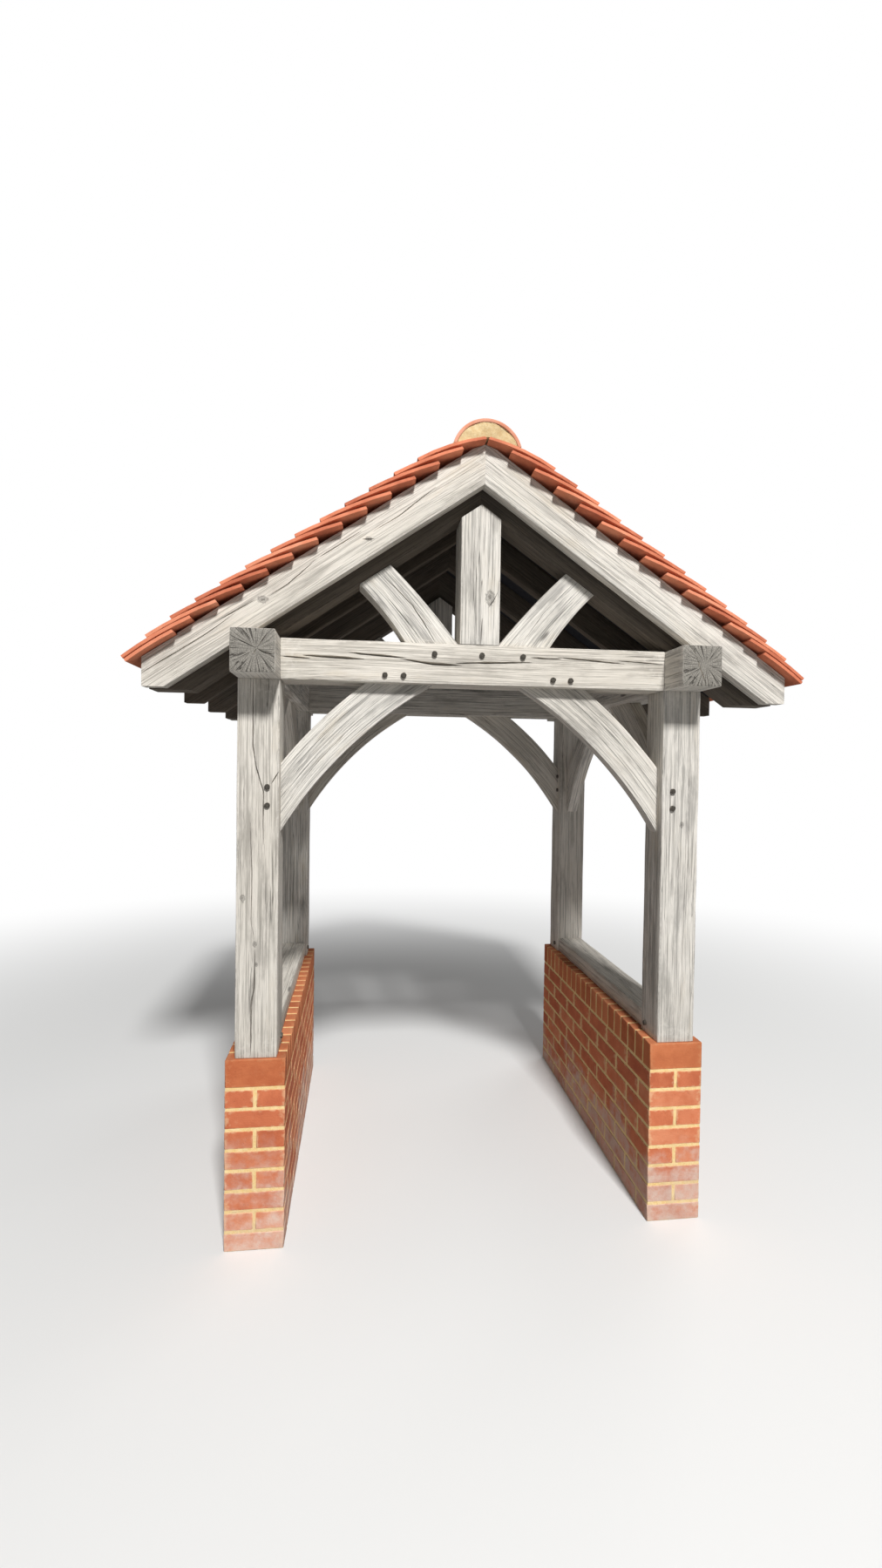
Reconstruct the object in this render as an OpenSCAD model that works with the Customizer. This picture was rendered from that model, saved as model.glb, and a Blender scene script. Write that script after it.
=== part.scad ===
// Oak lychgate on two low brick walls, with a plain-tiled gable roof.
// Millimetres. The origin lies on the ground at the middle of the plan, +Z is up,
// +X is to the right of someone facing the gate, and +Y runs through the gate.

/* [Brick walls] */
// Distance between the middles of the two walls
wall_spacing = 1610; // [1450:5:2200]
// Length of each wall through the gate
wall_length = 1490; // [1300:5:2400]
// Thickness of each wall, one brick long
wall_thickness = 215; // [200:1:330]
// Courses of brick below the coping
wall_courses = 8; // [4:1:14]
// Height of one course with its mortar joint
course_height = 75; // [65:1:85]
// Height of the brick-on-edge coping
coping_height = 102.5; // [90:0.5:140]

/* [Posts] */
// Width of a post across the gate
post_width = 150; // [120:1:200]
// Depth of a post through the gate
post_depth = 150; // [120:1:200]
// Height of a post from the coping to the wall plate
post_height = 1380; // [1150:5:1800]
// Distance from the end of a wall to the face of its post
post_setback = 10; // [1:1:60]
// Height of the sill rail on the coping
rail_height = 75; // [60:1:120]
// How far each side of the sill rail stands in from the post's side
rail_inset = 10; // [1:1:30]

/* [Plates and tie beams] */
// Width of a wall plate
plate_width = 150; // [120:1:200]
// Height of a wall plate
plate_height = 150; // [120:1:200]
// How far a wall plate runs past the outer face of a post
plate_overhang = 150; // [60:1:300]
// Height of a tie beam
tie_height = 150; // [120:1:200]
// Width of a tie beam through the gate
tie_width = 150; // [110:1:200]

/* [Arched braces] */
// How far down the post a brace reaches
brace_drop = 555; // [450:5:700]
// How far along the tie beam a gable brace reaches
brace_run = 560; // [450:5:650]
// Gap between the two side braces of a wall, along the plate
side_brace_gap = 60; // [10:5:300]
// Radius of the hollow edge of a brace
brace_radius = 1650; // [1000:10:4000]
// Width of a brace between its two curved edges
brace_width = 145; // [90:1:170]
// Thickness of a brace
brace_thickness = 60; // [45:1:90]

/* [Gable trusses] */
// Width of a king post
king_width = 150; // [110:1:200]
// Distance from the middle to the outer edge of a strut on the tie beam
strut_foot = 275; // [240:1:320]
// Distance from the middle to the outer edge of a strut under the rafter
strut_head = 450; // [400:1:520]
// Distance from the middle to the inner edge of a strut under the rafter
strut_head_inner = 336; // [290:1:380]
// Radius of a strut's outer edge
strut_radius = 1120; // [900:10:3000]
// Radius of a strut's inner edge
strut_inner_radius = 2900; // [2000:10:6000]
// Thickness of a strut and of the rafters over a truss
truss_thickness = 100; // [60:1:110]
// Depth of the rafters over a truss, square to their slope
truss_depth = 150; // [130:1:180]

/* [Rafters] */
// Slope of the roof in degrees
roof_pitch = 34.5; // [32:0.5:38]
// Height of the rafters' lower edges at the apex above the tie beam's top
apex_rise = 570; // [540:5:640]
// Depth of a common rafter, square to its slope
rafter_depth = 110; // [80:1:140]
// Thickness of a common rafter or a barge rafter
rafter_thickness = 50; // [38:1:75]
// Number of common rafters between the two trusses on each slope
common_rafters = 2; // [1:1:5]
// How far a rafter's foot reaches past the outer face of the wall plate
rafter_reach = 310; // [200:5:450]
// Height of the level cut under a rafter's foot, above the foot's lowest point
foot_cut = 52; // [20:1:70]
// Gap between the face of a post and the back of a barge rafter
barge_gap = 10; // [1:1:60]
// Length over which a barge rafter's top drops under the heads of the top tiles
barge_drop = 50; // [45:1:90]

/* [Tiles] */
// Height of a tile batten
batten_height = 25; // [21:1:38]
// Width of a tile batten
batten_width = 38; // [25:1:50]
// Length of a plain tile
tile_length = 265; // [250:1:300]
// Length of an eaves tile, laid under the first course
eaves_tile_length = 190; // [160:1:200]
// Thickness of a tile
tile_thickness = 12; // [9:0.5:16]
// How far the middle of a tile's length rises above its ends
tile_camber = 7; // [0:0.5:9]
// Largest distance from one course of tiles to the next
largest_gauge = 103; // [90:0.5:110]
// Distance from a tile's head down to its batten, where the nibs hook
nib_length = 12; // [8:1:20]
// Height of the eaves tile's tail above the rafters
eaves_lift = 16; // [14:1:28]
// Height of the eaves tile's head above the rafters
eaves_head_lift = 15; // [10:1:16]
// Gap between the tails of the eaves tile and of the first course
eaves_gap = 3; // [0:1:6]
// How far the tiles run past the rafters' feet, along the slope
eaves_overhang = 38; // [20:1:60]
// How far the tiles run past the face of a barge rafter
verge_overhang = 42; // [20:1:80]
// How far the middle of a tile in the top course rises above its ends
top_camber = 13; // [0:0.5:16]
// Height of the top course's head above the rafters
top_head_lift = 9; // [6:1:16]
// Length cut from the heads of the top course's tiles
top_cut = 11; // [0:1:60]

/* [Ridge] */
// Outer radius of a half-round ridge tile
ridge_radius = 129; // [120:1:150]
// Height of a ridge tile from its lower edges to its crown
ridge_rise = 93; // [75:1:110]
// Thickness of a ridge tile
ridge_thickness = 12; // [9:1:18]
// Thickness of the mortar bed under the edges of the ridge tiles
ridge_bed = 4; // [2:1:30]
// Width of the mortar bed under each edge
ridge_bed_width = 44; // [30:1:60]
// Number of ridge tiles
ridge_count = 4; // [2:1:8]
// Mortar joint between two ridge tiles
ridge_joint = 6; // [3:1:12]
// Depth of the mortar that closes each end of the ridge
ridge_plug = 60; // [30:1:150]

/* [Joinery] */
// Thickness of every tenon
tenon_thickness = 38; // [25:1:40]
// Wood left between two tenons that meet in a post
tenon_wall = 6; // [4:1:12]
// Width of the shoulder beside a tenon
tenon_shoulder = 18; // [12:1:24]
// Clearance round a tenon in its mortice
tenon_clearance = 0.3; // [0.2:0.1:1]

/* [Hidden] */
$fn = 360;

// Side and end of the gate on which a piece stands
LEFT = -1;
RIGHT = 1;
FRONT = -1;
REAR = 1;

// Walls and posts
wall_x = wall_spacing / 2;
wall_height = wall_courses * course_height;
coping_top = wall_height + coping_height;
post_inner_x = wall_x - post_width / 2;
post_outer_y = wall_length / 2 - post_setback;
post_inner_y = post_outer_y - post_depth;
post_y = post_outer_y - post_depth / 2;
rail_width = post_width - 2 * rail_inset;
rail_top = coping_top + rail_height;

// Beams
beam_bottom = coping_top + post_height;
plate_top = beam_bottom + plate_height;
tie_top = beam_bottom + tie_height;
plate_inner_x = wall_x - plate_width / 2;
plate_outer_x = wall_x + plate_width / 2;
plate_end_y = post_outer_y + plate_overhang;
side_brace_run = post_inner_y - side_brace_gap / 2;

// Depth to which solids of one piece run into each other, and cuts run past a face
overlap = 1;

// Tenons stop short of one another inside a post or a plate
tenon_half = tenon_thickness / 2;
tenon_length = min(post_width, post_depth, plate_width) / 2 - tenon_half - tenon_wall;

// Rafters
slope_sin = sin(roof_pitch);
slope_cos = cos(roof_pitch);
slope_tan = tan(roof_pitch);
apex_high = tie_top + apex_rise + rafter_depth / slope_cos;
rafter_foot_x = plate_outer_x + rafter_reach;
barge_inner_y = post_outer_y + barge_gap;
barge_outer_y = barge_inner_y + rafter_thickness;
truss_inner_y = post_y - truss_thickness / 2;
truss_outer_y = post_y + truss_thickness / 2;
common_pitch = 2 * post_y / (common_rafters + 1);

// Slope from the tails of the first course up to the apex of the rafters
slope_length = rafter_foot_x / slope_cos + eaves_overhang;
verge_y = barge_outer_y + verge_overhang;
fillet_setback = 2;

// Courses of tiles, spread evenly so that the top one ends just short of the middle
head_gap = 3;
top_length = tile_length - top_cut;
top_tail = slope_length + top_head_lift * slope_tan - head_gap - top_length;
last_course = ceil(top_tail / largest_gauge);
tile_gauge = top_tail / last_course;
seat_length = tile_length - nib_length;
camber_steps = 4;

// Barge rafters rise to the lowest of the tiles' heads
barge_rise = min([for (k = [0 : last_course - 1]) under_lift(k, tile_length)]);

// Height of a rafter's underside at a distance from the middle
function rafter_low(x, depth) = apex_high - depth / slope_cos - x * slope_tan;

// Distance from the middle at which a rafter's underside reaches a height
function rafter_low_x(z, depth) = (apex_high - depth / slope_cos - z) / slope_tan;

// Height of the rafters' tops at a distance from the middle, or of a line above them
function rafter_high(x, n) = apex_high + n / slope_cos - x * slope_tan;

// X-Z place of a point on the right-hand slope, s up from the eaves and n above the rafters
function slope_point(s, n) = [
    (slope_length - s) * slope_cos + n * slope_sin,
    apex_high - (slope_length - s) * slope_sin + n * slope_cos
];

// Distance from the eaves to the tail and to the head of a course
function tail(k) = k * tile_gauge;
function head(k) = tail(k) + tile_length;

// Rise of a bowed tile above its ends, a distance d up from its tail
function camber(d, length, bow) = 4 * bow * d * (length - d) / pow(tile_length, 2);
function course_bow(k) = k == last_course ? top_camber : tile_camber;

// Height of a course's underside above the rafters, at its tail and a distance d up from
// it. A tail lies on the course below, and a head on its batten or at the apex.
function tail_lift(k) =
    k == 0 ? eaves_lift + tile_thickness + eaves_gap
           : under_lift(k - 1, tile_gauge) + tile_thickness;
function under_lift(k, d) =
    let (lift = tail_lift(k),
         seat = k == last_course ? top_length : seat_length,
         seat_lift = k == last_course ? top_head_lift : batten_height,
         fall = (lift + camber(seat, tile_length, course_bow(k)) - seat_lift) / seat)
    lift - d * fall + camber(d, tile_length, course_bow(k));

// Height of the eaves tile's underside at a distance up from its tail
function eaves_under(s) =
    eaves_lift - s * (eaves_lift - eaves_head_lift) / eaves_tile_length
    + camber(s, eaves_tile_length, tile_camber);

// Points along a course from one distance to another, a height n above its underside
function course_side(k, from, to, n) = [
    for (i = [0 : camber_steps])
        let (d = from + (to - from) * i / camber_steps)
        slope_point(tail(k) + d, under_lift(k, d) + n)
];

// Top course's upper side, from its tail to its head, and its height at a distance x
top_side = course_side(last_course, 0, top_length, tile_thickness);
function top_course_z(x) = lookup(x, top_side);

// Ridge tiles, bedded on the top courses
ridge_half_width = sqrt(pow(ridge_radius, 2) - pow(ridge_radius - ridge_rise, 2));
ridge_edge_z = top_course_z(ridge_half_width) + ridge_bed;
ridge_centre = [0, ridge_edge_z + ridge_rise - ridge_radius];
ridge_tile_length = (2 * verge_y - (ridge_count - 1) * ridge_joint) / ridge_count;

// Centre of the circle of radius r through a and b, to the right of the way from a to b
function arc_centre(a, b, r) =
    let (way = b - a, side = [way[1], -way[0]] / norm(way))
    (a + b) / 2 + side * sqrt(r * r - pow(norm(way) / 2, 2));

// Distance along an axis from a circle's centre to the circle, past a given offset
function circle_at(offset, r) = sqrt(r * r - offset * offset);

// Extrudes an X-Z outline from y0 to y1
module along_y(y0, y1) {
    translate([0, y1, 0]) rotate([90, 0, 0]) linear_extrude(y1 - y0) children();
}

// Extrudes a Y-Z outline from x0 to x1
module along_x(x0, x1) {
    translate([x0, 0, 0]) rotate([90, 0, 90]) linear_extrude(x1 - x0) children();
}

// Box between two corners
module box(low, high) {
    translate(low) cube(high - low);
}

// Rectangle between two corners
module area(low, high) {
    translate(low) square(high - low);
}

// Moves what is drawn on the right to the left where side is LEFT
module on_side(side) {
    if (side == RIGHT) children();
    else mirror([1, 0, 0]) children();
}

// Moves what is drawn at the rear to the front where end is FRONT
module at_end(end) {
    if (end == REAR) children();
    else mirror([0, 1, 0]) children();
}

// Low walls, each one mass of masonry under its coping
module wall(side) {
    color("indianred") on_side(side)
        box([wall_x - wall_thickness / 2, -wall_length / 2, 0],
            [wall_x + wall_thickness / 2, wall_length / 2, wall_height]);
}

module coping(side) {
    color("salmon") on_side(side)
        box([wall_x - wall_thickness / 2, -wall_length / 2, wall_height],
            [wall_x + wall_thickness / 2, wall_length / 2, coping_top]);
}

// Sill rail on the coping, tenoned into two posts. The tenon with a clearance is its mortice.
module rail_tenon(clearance) {
    box([wall_x - tenon_half - clearance, -post_inner_y - tenon_length - clearance,
         coping_top + tenon_shoulder - clearance],
        [wall_x + tenon_half + clearance, post_inner_y + tenon_length + clearance,
         rail_top - tenon_shoulder + clearance]);
}

module sill_rail(side) {
    color("tan") on_side(side) {
        box([wall_x - rail_width / 2, -post_inner_y, coping_top],
            [wall_x + rail_width / 2, post_inner_y, rail_top]);
        rail_tenon(0);
    }
}

// A brace in its own corner, with the post's face on u = 0 and the beam's underside on
// v = 0. The brace lies where both are below zero.
function brace_centre(run) = arc_centre([-run, 0], [0, -brace_drop], brace_radius);
function brace_outer_u(run) =
    brace_centre(run)[0] + circle_at(brace_centre(run)[1], brace_radius + brace_width);
function brace_outer_v(run) =
    brace_centre(run)[1] + circle_at(brace_centre(run)[0], brace_radius + brace_width);

module brace_outline(run) {
    intersection() {
        translate(brace_centre(run)) difference() {
            circle(brace_radius + brace_width);
            circle(brace_radius);
        }
        area([-run - brace_width, -brace_drop - brace_width], [0, 0]);
    }
}

// The two tenons of a brace, or with a clearance their mortices
module brace_tenon_outline(run, clearance) {
    area([-overlap, tenon_shoulder - brace_drop - clearance],
         [tenon_length + clearance, brace_outer_v(run) - tenon_shoulder + clearance]);
    area([tenon_shoulder - run - clearance, -overlap],
         [brace_outer_u(run) - tenon_shoulder + clearance, tenon_length + clearance]);
}

// Places a brace's outline at the rear right post, across the gate or along the wall
module across_gate(thickness) {
    along_y(post_y - thickness / 2, post_y + thickness / 2)
        translate([post_inner_x, beam_bottom]) children();
}

module along_wall(thickness) {
    along_x(wall_x - thickness / 2, wall_x + thickness / 2)
        translate([post_inner_y, beam_bottom]) children();
}

module gable_brace_tenons(clearance) {
    across_gate(tenon_thickness + 2 * clearance) brace_tenon_outline(brace_run, clearance);
}

module side_brace_tenons(clearance) {
    along_wall(tenon_thickness + 2 * clearance) brace_tenon_outline(side_brace_run, clearance);
}

module gable_brace(side, end) {
    color("burlywood") on_side(side) at_end(end) {
        across_gate(brace_thickness) brace_outline(brace_run);
        gable_brace_tenons(0);
    }
}

module side_brace(side, end) {
    color("burlywood") on_side(side) at_end(end) {
        along_wall(brace_thickness) brace_outline(side_brace_run);
        side_brace_tenons(0);
    }
}

// Posts, with a tenon on each head and mortices for two braces and the sill rail
module post_tenon(clearance) {
    box([wall_x - tenon_half - clearance, post_inner_y + tenon_shoulder - clearance,
         beam_bottom - overlap],
        [wall_x + tenon_half + clearance, post_outer_y - tenon_shoulder + clearance,
         beam_bottom + tenon_length + clearance]);
}

module post(side, end) {
    color("wheat") on_side(side) at_end(end) {
        difference() {
            box([post_inner_x, post_inner_y, coping_top],
                [post_inner_x + post_width, post_outer_y, beam_bottom]);
            gable_brace_tenons(tenon_clearance);
            side_brace_tenons(tenon_clearance);
            rail_tenon(tenon_clearance);
        }
        post_tenon(0);
    }
}

// Tie beam between the wall plates, tenoned into both
module tie_tenons(clearance) {
    reach = plate_inner_x + tenon_length + clearance;
    box([-reach, post_y - tenon_half - clearance, beam_bottom + tenon_shoulder - clearance],
        [reach, post_y + tenon_half + clearance, tie_top - tenon_shoulder + clearance]);
}

module tie_beam(end) {
    color("wheat") at_end(end) {
        difference() {
            box([-plate_inner_x, post_y - tie_width / 2, beam_bottom],
                [plate_inner_x, post_y + tie_width / 2, tie_top]);
            for (side = [LEFT, RIGHT]) on_side(side) {
                gable_brace_tenons(tenon_clearance);
                strut_tenon(tenon_clearance);
            }
            king_tenon(tenon_clearance);
        }
        difference() {
            tie_tenons(0);
            box([-plate_inner_x + overlap, 0, 0],
                [plate_inner_x - overlap, plate_end_y, tie_top]);
        }
    }
}

// Wall plate over two posts, with mortices for them, the tie beams and the side braces
module wall_plate(side) {
    color("wheat") on_side(side) difference() {
        box([plate_inner_x, -plate_end_y, beam_bottom], [plate_outer_x, plate_end_y, plate_top]);
        for (end = [FRONT, REAR]) at_end(end) {
            post_tenon(tenon_clearance);
            tie_tenons(tenon_clearance);
            side_brace_tenons(tenon_clearance);
        }
    }
}

// King post, pointed to fit under the rafters' apex, with a tenon in the tie beam
module king_tenon(clearance) {
    half = king_width / 2 - tenon_shoulder + clearance;
    box([-half, post_y - tenon_half - clearance, tie_top - tenon_length - clearance],
        [half, post_y + tenon_half + clearance, tie_top + overlap]);
}

module king_post(end) {
    half = king_width / 2;
    color("wheat") at_end(end) {
        along_y(post_y - post_depth / 2, post_y + post_depth / 2)
            polygon([[-half, tie_top], [half, tie_top], [half, rafter_low(half, truss_depth)],
                     [0, rafter_low(0, truss_depth)], [-half, rafter_low(half, truss_depth)]]);
        king_tenon(0);
    }
}

// Curved strut that springs from the foot of the king post and ends under the rafter
module strut_outline() {
    half = king_width / 2;
    foot = [strut_foot, tie_top];
    head = [strut_head, rafter_low(strut_head, truss_depth)];
    inner_foot = [half, tie_top];
    inner_head = [strut_head_inner, rafter_low(strut_head_inner, truss_depth)];
    intersection() {
        difference() {
            translate(arc_centre(inner_foot, inner_head, strut_inner_radius))
                circle(strut_inner_radius);
            translate(arc_centre(foot, head, strut_radius)) circle(strut_radius);
        }
        polygon([inner_foot, foot, [rafter_low_x(tie_top, truss_depth), tie_top],
                 [half, rafter_low(half, truss_depth)]]);
    }
}

module strut_tenon(clearance) {
    box([king_width / 2 + tenon_shoulder - clearance, post_y - tenon_half - clearance,
         tie_top - tenon_length - clearance],
        [strut_foot - tenon_shoulder + clearance, post_y + tenon_half + clearance,
         tie_top + overlap]);
}

module strut(side, end) {
    color("burlywood") on_side(side) at_end(end) {
        along_y(truss_inner_y, truss_outer_y) strut_outline();
        strut_tenon(0);
    }
}

// Lower side of a rafter, with a plumb cut at the apex, a birdsmouth on the wall plate,
// and a foot that is cut plumb and level
function rafter_underside(depth) =
    let (foot_low = rafter_low(rafter_foot_x, rafter_depth) + foot_cut) [
        [0, rafter_low(0, depth)],
        [rafter_low_x(plate_top, depth), plate_top],
        [plate_outer_x, plate_top],
        [plate_outer_x, rafter_low(plate_outer_x, depth)],
        [rafter_low_x(foot_low, depth), foot_low],
        [rafter_foot_x, foot_low]
    ];

module rafter_outline(depth) {
    polygon(concat(rafter_underside(depth), [
        [rafter_foot_x, rafter_high(rafter_foot_x, 0)],
        [0, rafter_high(0, 0)]
    ]));
}

// Barge rafter, which hides the ends of the battens and comes up to the heads of the tiles
module barge_outline() {
    eaves_step = eaves_tile_length + eaves_gap;
    top_head = tail(last_course) + top_length;
    polygon(concat(rafter_underside(rafter_depth), [
        [rafter_foot_x, rafter_high(rafter_foot_x, eaves_head_lift)],
        slope_point(eaves_step, eaves_head_lift),
        slope_point(eaves_step, barge_rise),
        slope_point(top_head - barge_drop, barge_rise),
        slope_point(top_head, top_head_lift),
        [0, rafter_high(0, top_head_lift)]
    ]));
}

module barge_rafter(side, end) {
    color("linen") on_side(side) at_end(end)
        along_y(barge_inner_y, barge_outer_y) barge_outline();
}

module rafters(side) {
    color("burlywood") on_side(side) {
        for (end = [FRONT, REAR]) at_end(end)
            along_y(truss_inner_y, truss_outer_y) rafter_outline(truss_depth);
        for (i = [1 : common_rafters]) {
            y = -post_y + i * common_pitch;
            along_y(y - rafter_thickness / 2, y + rafter_thickness / 2)
                rafter_outline(rafter_depth);
        }
    }
}

// Batten on the rafters, with its upper edge at s and its top at a height n
module batten(s, n) {
    along_y(-barge_inner_y, barge_inner_y)
        polygon([slope_point(s - batten_width, 0), slope_point(s, 0),
                 slope_point(s, n), slope_point(s - batten_width, n)]);
}

module battens(side) {
    fillet_end = eaves_overhang + fillet_setback + batten_width;
    eaves_seat = eaves_tile_length - nib_length;
    color("peru") on_side(side) {
        batten(fillet_end, min(eaves_under(fillet_end), eaves_under(fillet_end - batten_width)));
        batten(eaves_seat, eaves_under(eaves_seat));
        for (k = [0 : last_course - 1]) batten(head(k) - nib_length, batten_height);
    }
}

// Covering of one slope in section. Each course rests on its batten and on the course
// below, so that the tails make steps outside and the heads make steps inside.
module covering_outline() {
    tops = [for (k = [0 : last_course]) each
        course_side(k, 0, k == last_course ? top_length : tile_gauge, tile_thickness)];
    undersides = [for (k = [last_course : -1 : 0]) each
        course_side(k, k == last_course ? top_length : tile_length,
                    k == 0 ? eaves_tile_length : tile_length - tile_gauge, 0)];
    eaves_side = [for (i = [camber_steps : -1 : 0])
        let (s = i * eaves_tile_length / camber_steps) slope_point(s, eaves_under(s))];
    polygon(concat(tops, undersides, eaves_side));
}

module tiles(side) {
    color("coral") on_side(side) along_y(-verge_y, verge_y) covering_outline();
}

// Space under a half-round of a given radius, above the edges of the ridge tiles
module ridge_round(radius, sink) {
    intersection() {
        translate(ridge_centre) circle(radius);
        area([-ridge_half_width, ridge_edge_z - sink],
             [ridge_half_width, ridge_edge_z + ridge_rise]);
    }
}

module ridge_tiles() {
    color("chocolate") for (i = [0 : ridge_count - 1]) {
        y = -verge_y + i * (ridge_tile_length + ridge_joint);
        along_y(y, y + ridge_tile_length) difference() {
            ridge_round(ridge_radius, 0);
            translate(ridge_centre) circle(ridge_radius - ridge_thickness);
        }
    }
}

// Mortar in section, from the tiles of the top courses up to a half-round
module ridge_fill_outline(radius) {
    bed_z = top_course_z(ridge_half_width) - overlap;
    difference() {
        union() {
            ridge_round(radius, overlap);
            area([-ridge_half_width, bed_z], [ridge_half_width, ridge_edge_z]);
        }
        polygon(concat(
            [for (p = top_side) [-p[0], p[1]]],
            [for (i = [camber_steps : -1 : 0]) top_side[i]]
        ));
    }
}

// Bed under both edges of the ridge tiles, a plug in each end, and the joints
module ridge_mortar() {
    bed_inner = ridge_half_width - ridge_bed_width;
    plug_inner = verge_y - ridge_plug;
    color("khaki") {
        difference() {
            along_y(-verge_y, verge_y) ridge_fill_outline(ridge_radius - ridge_thickness);
            box([-bed_inner, -plug_inner, apex_high],
                [bed_inner, plug_inner, ridge_edge_z + ridge_rise]);
        }
        for (i = [1 : ridge_count - 1]) {
            y = -verge_y + i * (ridge_tile_length + ridge_joint);
            along_y(y - ridge_joint, y) ridge_fill_outline(ridge_radius);
        }
    }
}

wall(LEFT);  // left_wall
wall(RIGHT);  // right_wall
coping(LEFT);  // left_coping
coping(RIGHT);  // right_coping
sill_rail(LEFT);  // left_sill_rail
sill_rail(RIGHT);  // right_sill_rail
post(LEFT, FRONT);  // front_left_post
post(RIGHT, FRONT);  // front_right_post
post(LEFT, REAR);  // rear_left_post
post(RIGHT, REAR);  // rear_right_post
wall_plate(LEFT);  // left_wall_plate
wall_plate(RIGHT);  // right_wall_plate
tie_beam(FRONT);  // front_tie_beam
tie_beam(REAR);  // rear_tie_beam
gable_brace(LEFT, FRONT);  // front_left_brace
gable_brace(RIGHT, FRONT);  // front_right_brace
gable_brace(LEFT, REAR);  // rear_left_brace
gable_brace(RIGHT, REAR);  // rear_right_brace
side_brace(LEFT, FRONT);  // left_front_side_brace
side_brace(LEFT, REAR);  // left_rear_side_brace
side_brace(RIGHT, FRONT);  // right_front_side_brace
side_brace(RIGHT, REAR);  // right_rear_side_brace
king_post(FRONT);  // front_king_post
king_post(REAR);  // rear_king_post
strut(LEFT, FRONT);  // front_left_strut
strut(RIGHT, FRONT);  // front_right_strut
strut(LEFT, REAR);  // rear_left_strut
strut(RIGHT, REAR);  // rear_right_strut
barge_rafter(LEFT, FRONT);  // front_left_barge_rafter
barge_rafter(RIGHT, FRONT);  // front_right_barge_rafter
barge_rafter(LEFT, REAR);  // rear_left_barge_rafter
barge_rafter(RIGHT, REAR);  // rear_right_barge_rafter
rafters(LEFT);  // left_rafters
rafters(RIGHT);  // right_rafters
battens(LEFT);  // left_battens
battens(RIGHT);  // right_battens
tiles(LEFT);  // left_tiles
tiles(RIGHT);  // right_tiles
ridge_tiles();
ridge_mortar();
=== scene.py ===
"""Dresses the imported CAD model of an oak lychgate.

A weathered oak frame stands on two dwarf walls of old brick, under a roof of bowed clay
plain tiles with bedded half-round ridge tiles. Metres, in the frame of the CAD model:
X runs across the gate, Y through it and Z up. The photographed gable faces minus Y.
"""

from __future__ import annotations

import logging
import math
import random
from dataclasses import dataclass, field
from enum import Enum
from typing import Callable, Iterable, Sequence

import bmesh
import bpy
from mathutils import Matrix, Vector, noise


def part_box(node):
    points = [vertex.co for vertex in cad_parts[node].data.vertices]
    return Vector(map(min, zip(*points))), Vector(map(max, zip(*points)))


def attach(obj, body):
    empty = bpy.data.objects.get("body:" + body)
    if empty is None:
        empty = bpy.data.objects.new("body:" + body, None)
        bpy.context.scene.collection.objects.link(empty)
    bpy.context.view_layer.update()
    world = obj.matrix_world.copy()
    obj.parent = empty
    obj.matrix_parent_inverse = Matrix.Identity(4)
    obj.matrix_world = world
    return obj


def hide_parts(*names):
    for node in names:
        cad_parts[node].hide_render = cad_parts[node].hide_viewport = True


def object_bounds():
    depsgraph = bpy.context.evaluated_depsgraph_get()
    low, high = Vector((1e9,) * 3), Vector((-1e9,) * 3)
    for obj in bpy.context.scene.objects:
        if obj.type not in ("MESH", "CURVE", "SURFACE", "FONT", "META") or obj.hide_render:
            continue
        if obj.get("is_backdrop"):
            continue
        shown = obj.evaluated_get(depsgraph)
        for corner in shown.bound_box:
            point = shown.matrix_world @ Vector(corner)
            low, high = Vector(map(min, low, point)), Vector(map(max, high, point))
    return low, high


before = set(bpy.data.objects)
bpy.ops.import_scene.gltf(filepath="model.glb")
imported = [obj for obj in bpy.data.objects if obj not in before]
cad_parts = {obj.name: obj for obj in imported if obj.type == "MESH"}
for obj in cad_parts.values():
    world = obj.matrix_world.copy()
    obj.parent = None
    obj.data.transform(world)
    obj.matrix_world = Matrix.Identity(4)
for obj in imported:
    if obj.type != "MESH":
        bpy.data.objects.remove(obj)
CAD_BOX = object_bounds()

log = logging.getLogger("lychgate")

BODY = "root"
ACROSS, THROUGH, UP = Vector((1, 0, 0)), Vector((0, 1, 0)), Vector((0, 0, 1))
NEAR = 1e-5  # metres, within which two places are the same

Colour = tuple[float, float, float, float]
Socket = bpy.types.NodeSocket
Piece = bpy.types.Object
Move = Callable[[Vector], Vector]


def paint(red: int, green: int, blue: int) -> Colour:
    """Turns a colour as a screen shows it, 0 to 255, into the linear one of shaders."""
    parts = [level / 255 for level in (red, green, blue)]
    return *(part / 12.92 if part <= 0.04045 else ((part + 0.055) / 1.055) ** 2.4
             for part in parts), 1.0


class Named(Enum):
    """Choice whose name stands in the CAD nodes."""

    @property
    def word(self) -> str:
        """Name as it stands in the CAD nodes."""
        return self.name.lower()


class Side(Named):
    """Side of the gate for someone who faces it."""

    LEFT = -1
    RIGHT = 1

    @property
    def out(self) -> Vector:
        """Unit vector from the middle to this side."""
        return Vector((self.value, 0, 0))


class End(Named):
    """Gable of the gate."""

    FRONT = -1
    REAR = 1

    @property
    def out(self) -> Vector:
        """Unit vector from the middle to this end."""
        return Vector((0, self.value, 0))


class Face(Enum):
    """Face of a timber, by its outward direction along, across and out of the timber."""

    FRONT = (0, 0, 1)
    BACK = (0, 0, -1)
    LOW = (0, -1, 0)
    HIGH = (0, 1, 0)
    HEAD = (1, 0, 0)
    FOOT = (-1, 0, 0)


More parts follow.
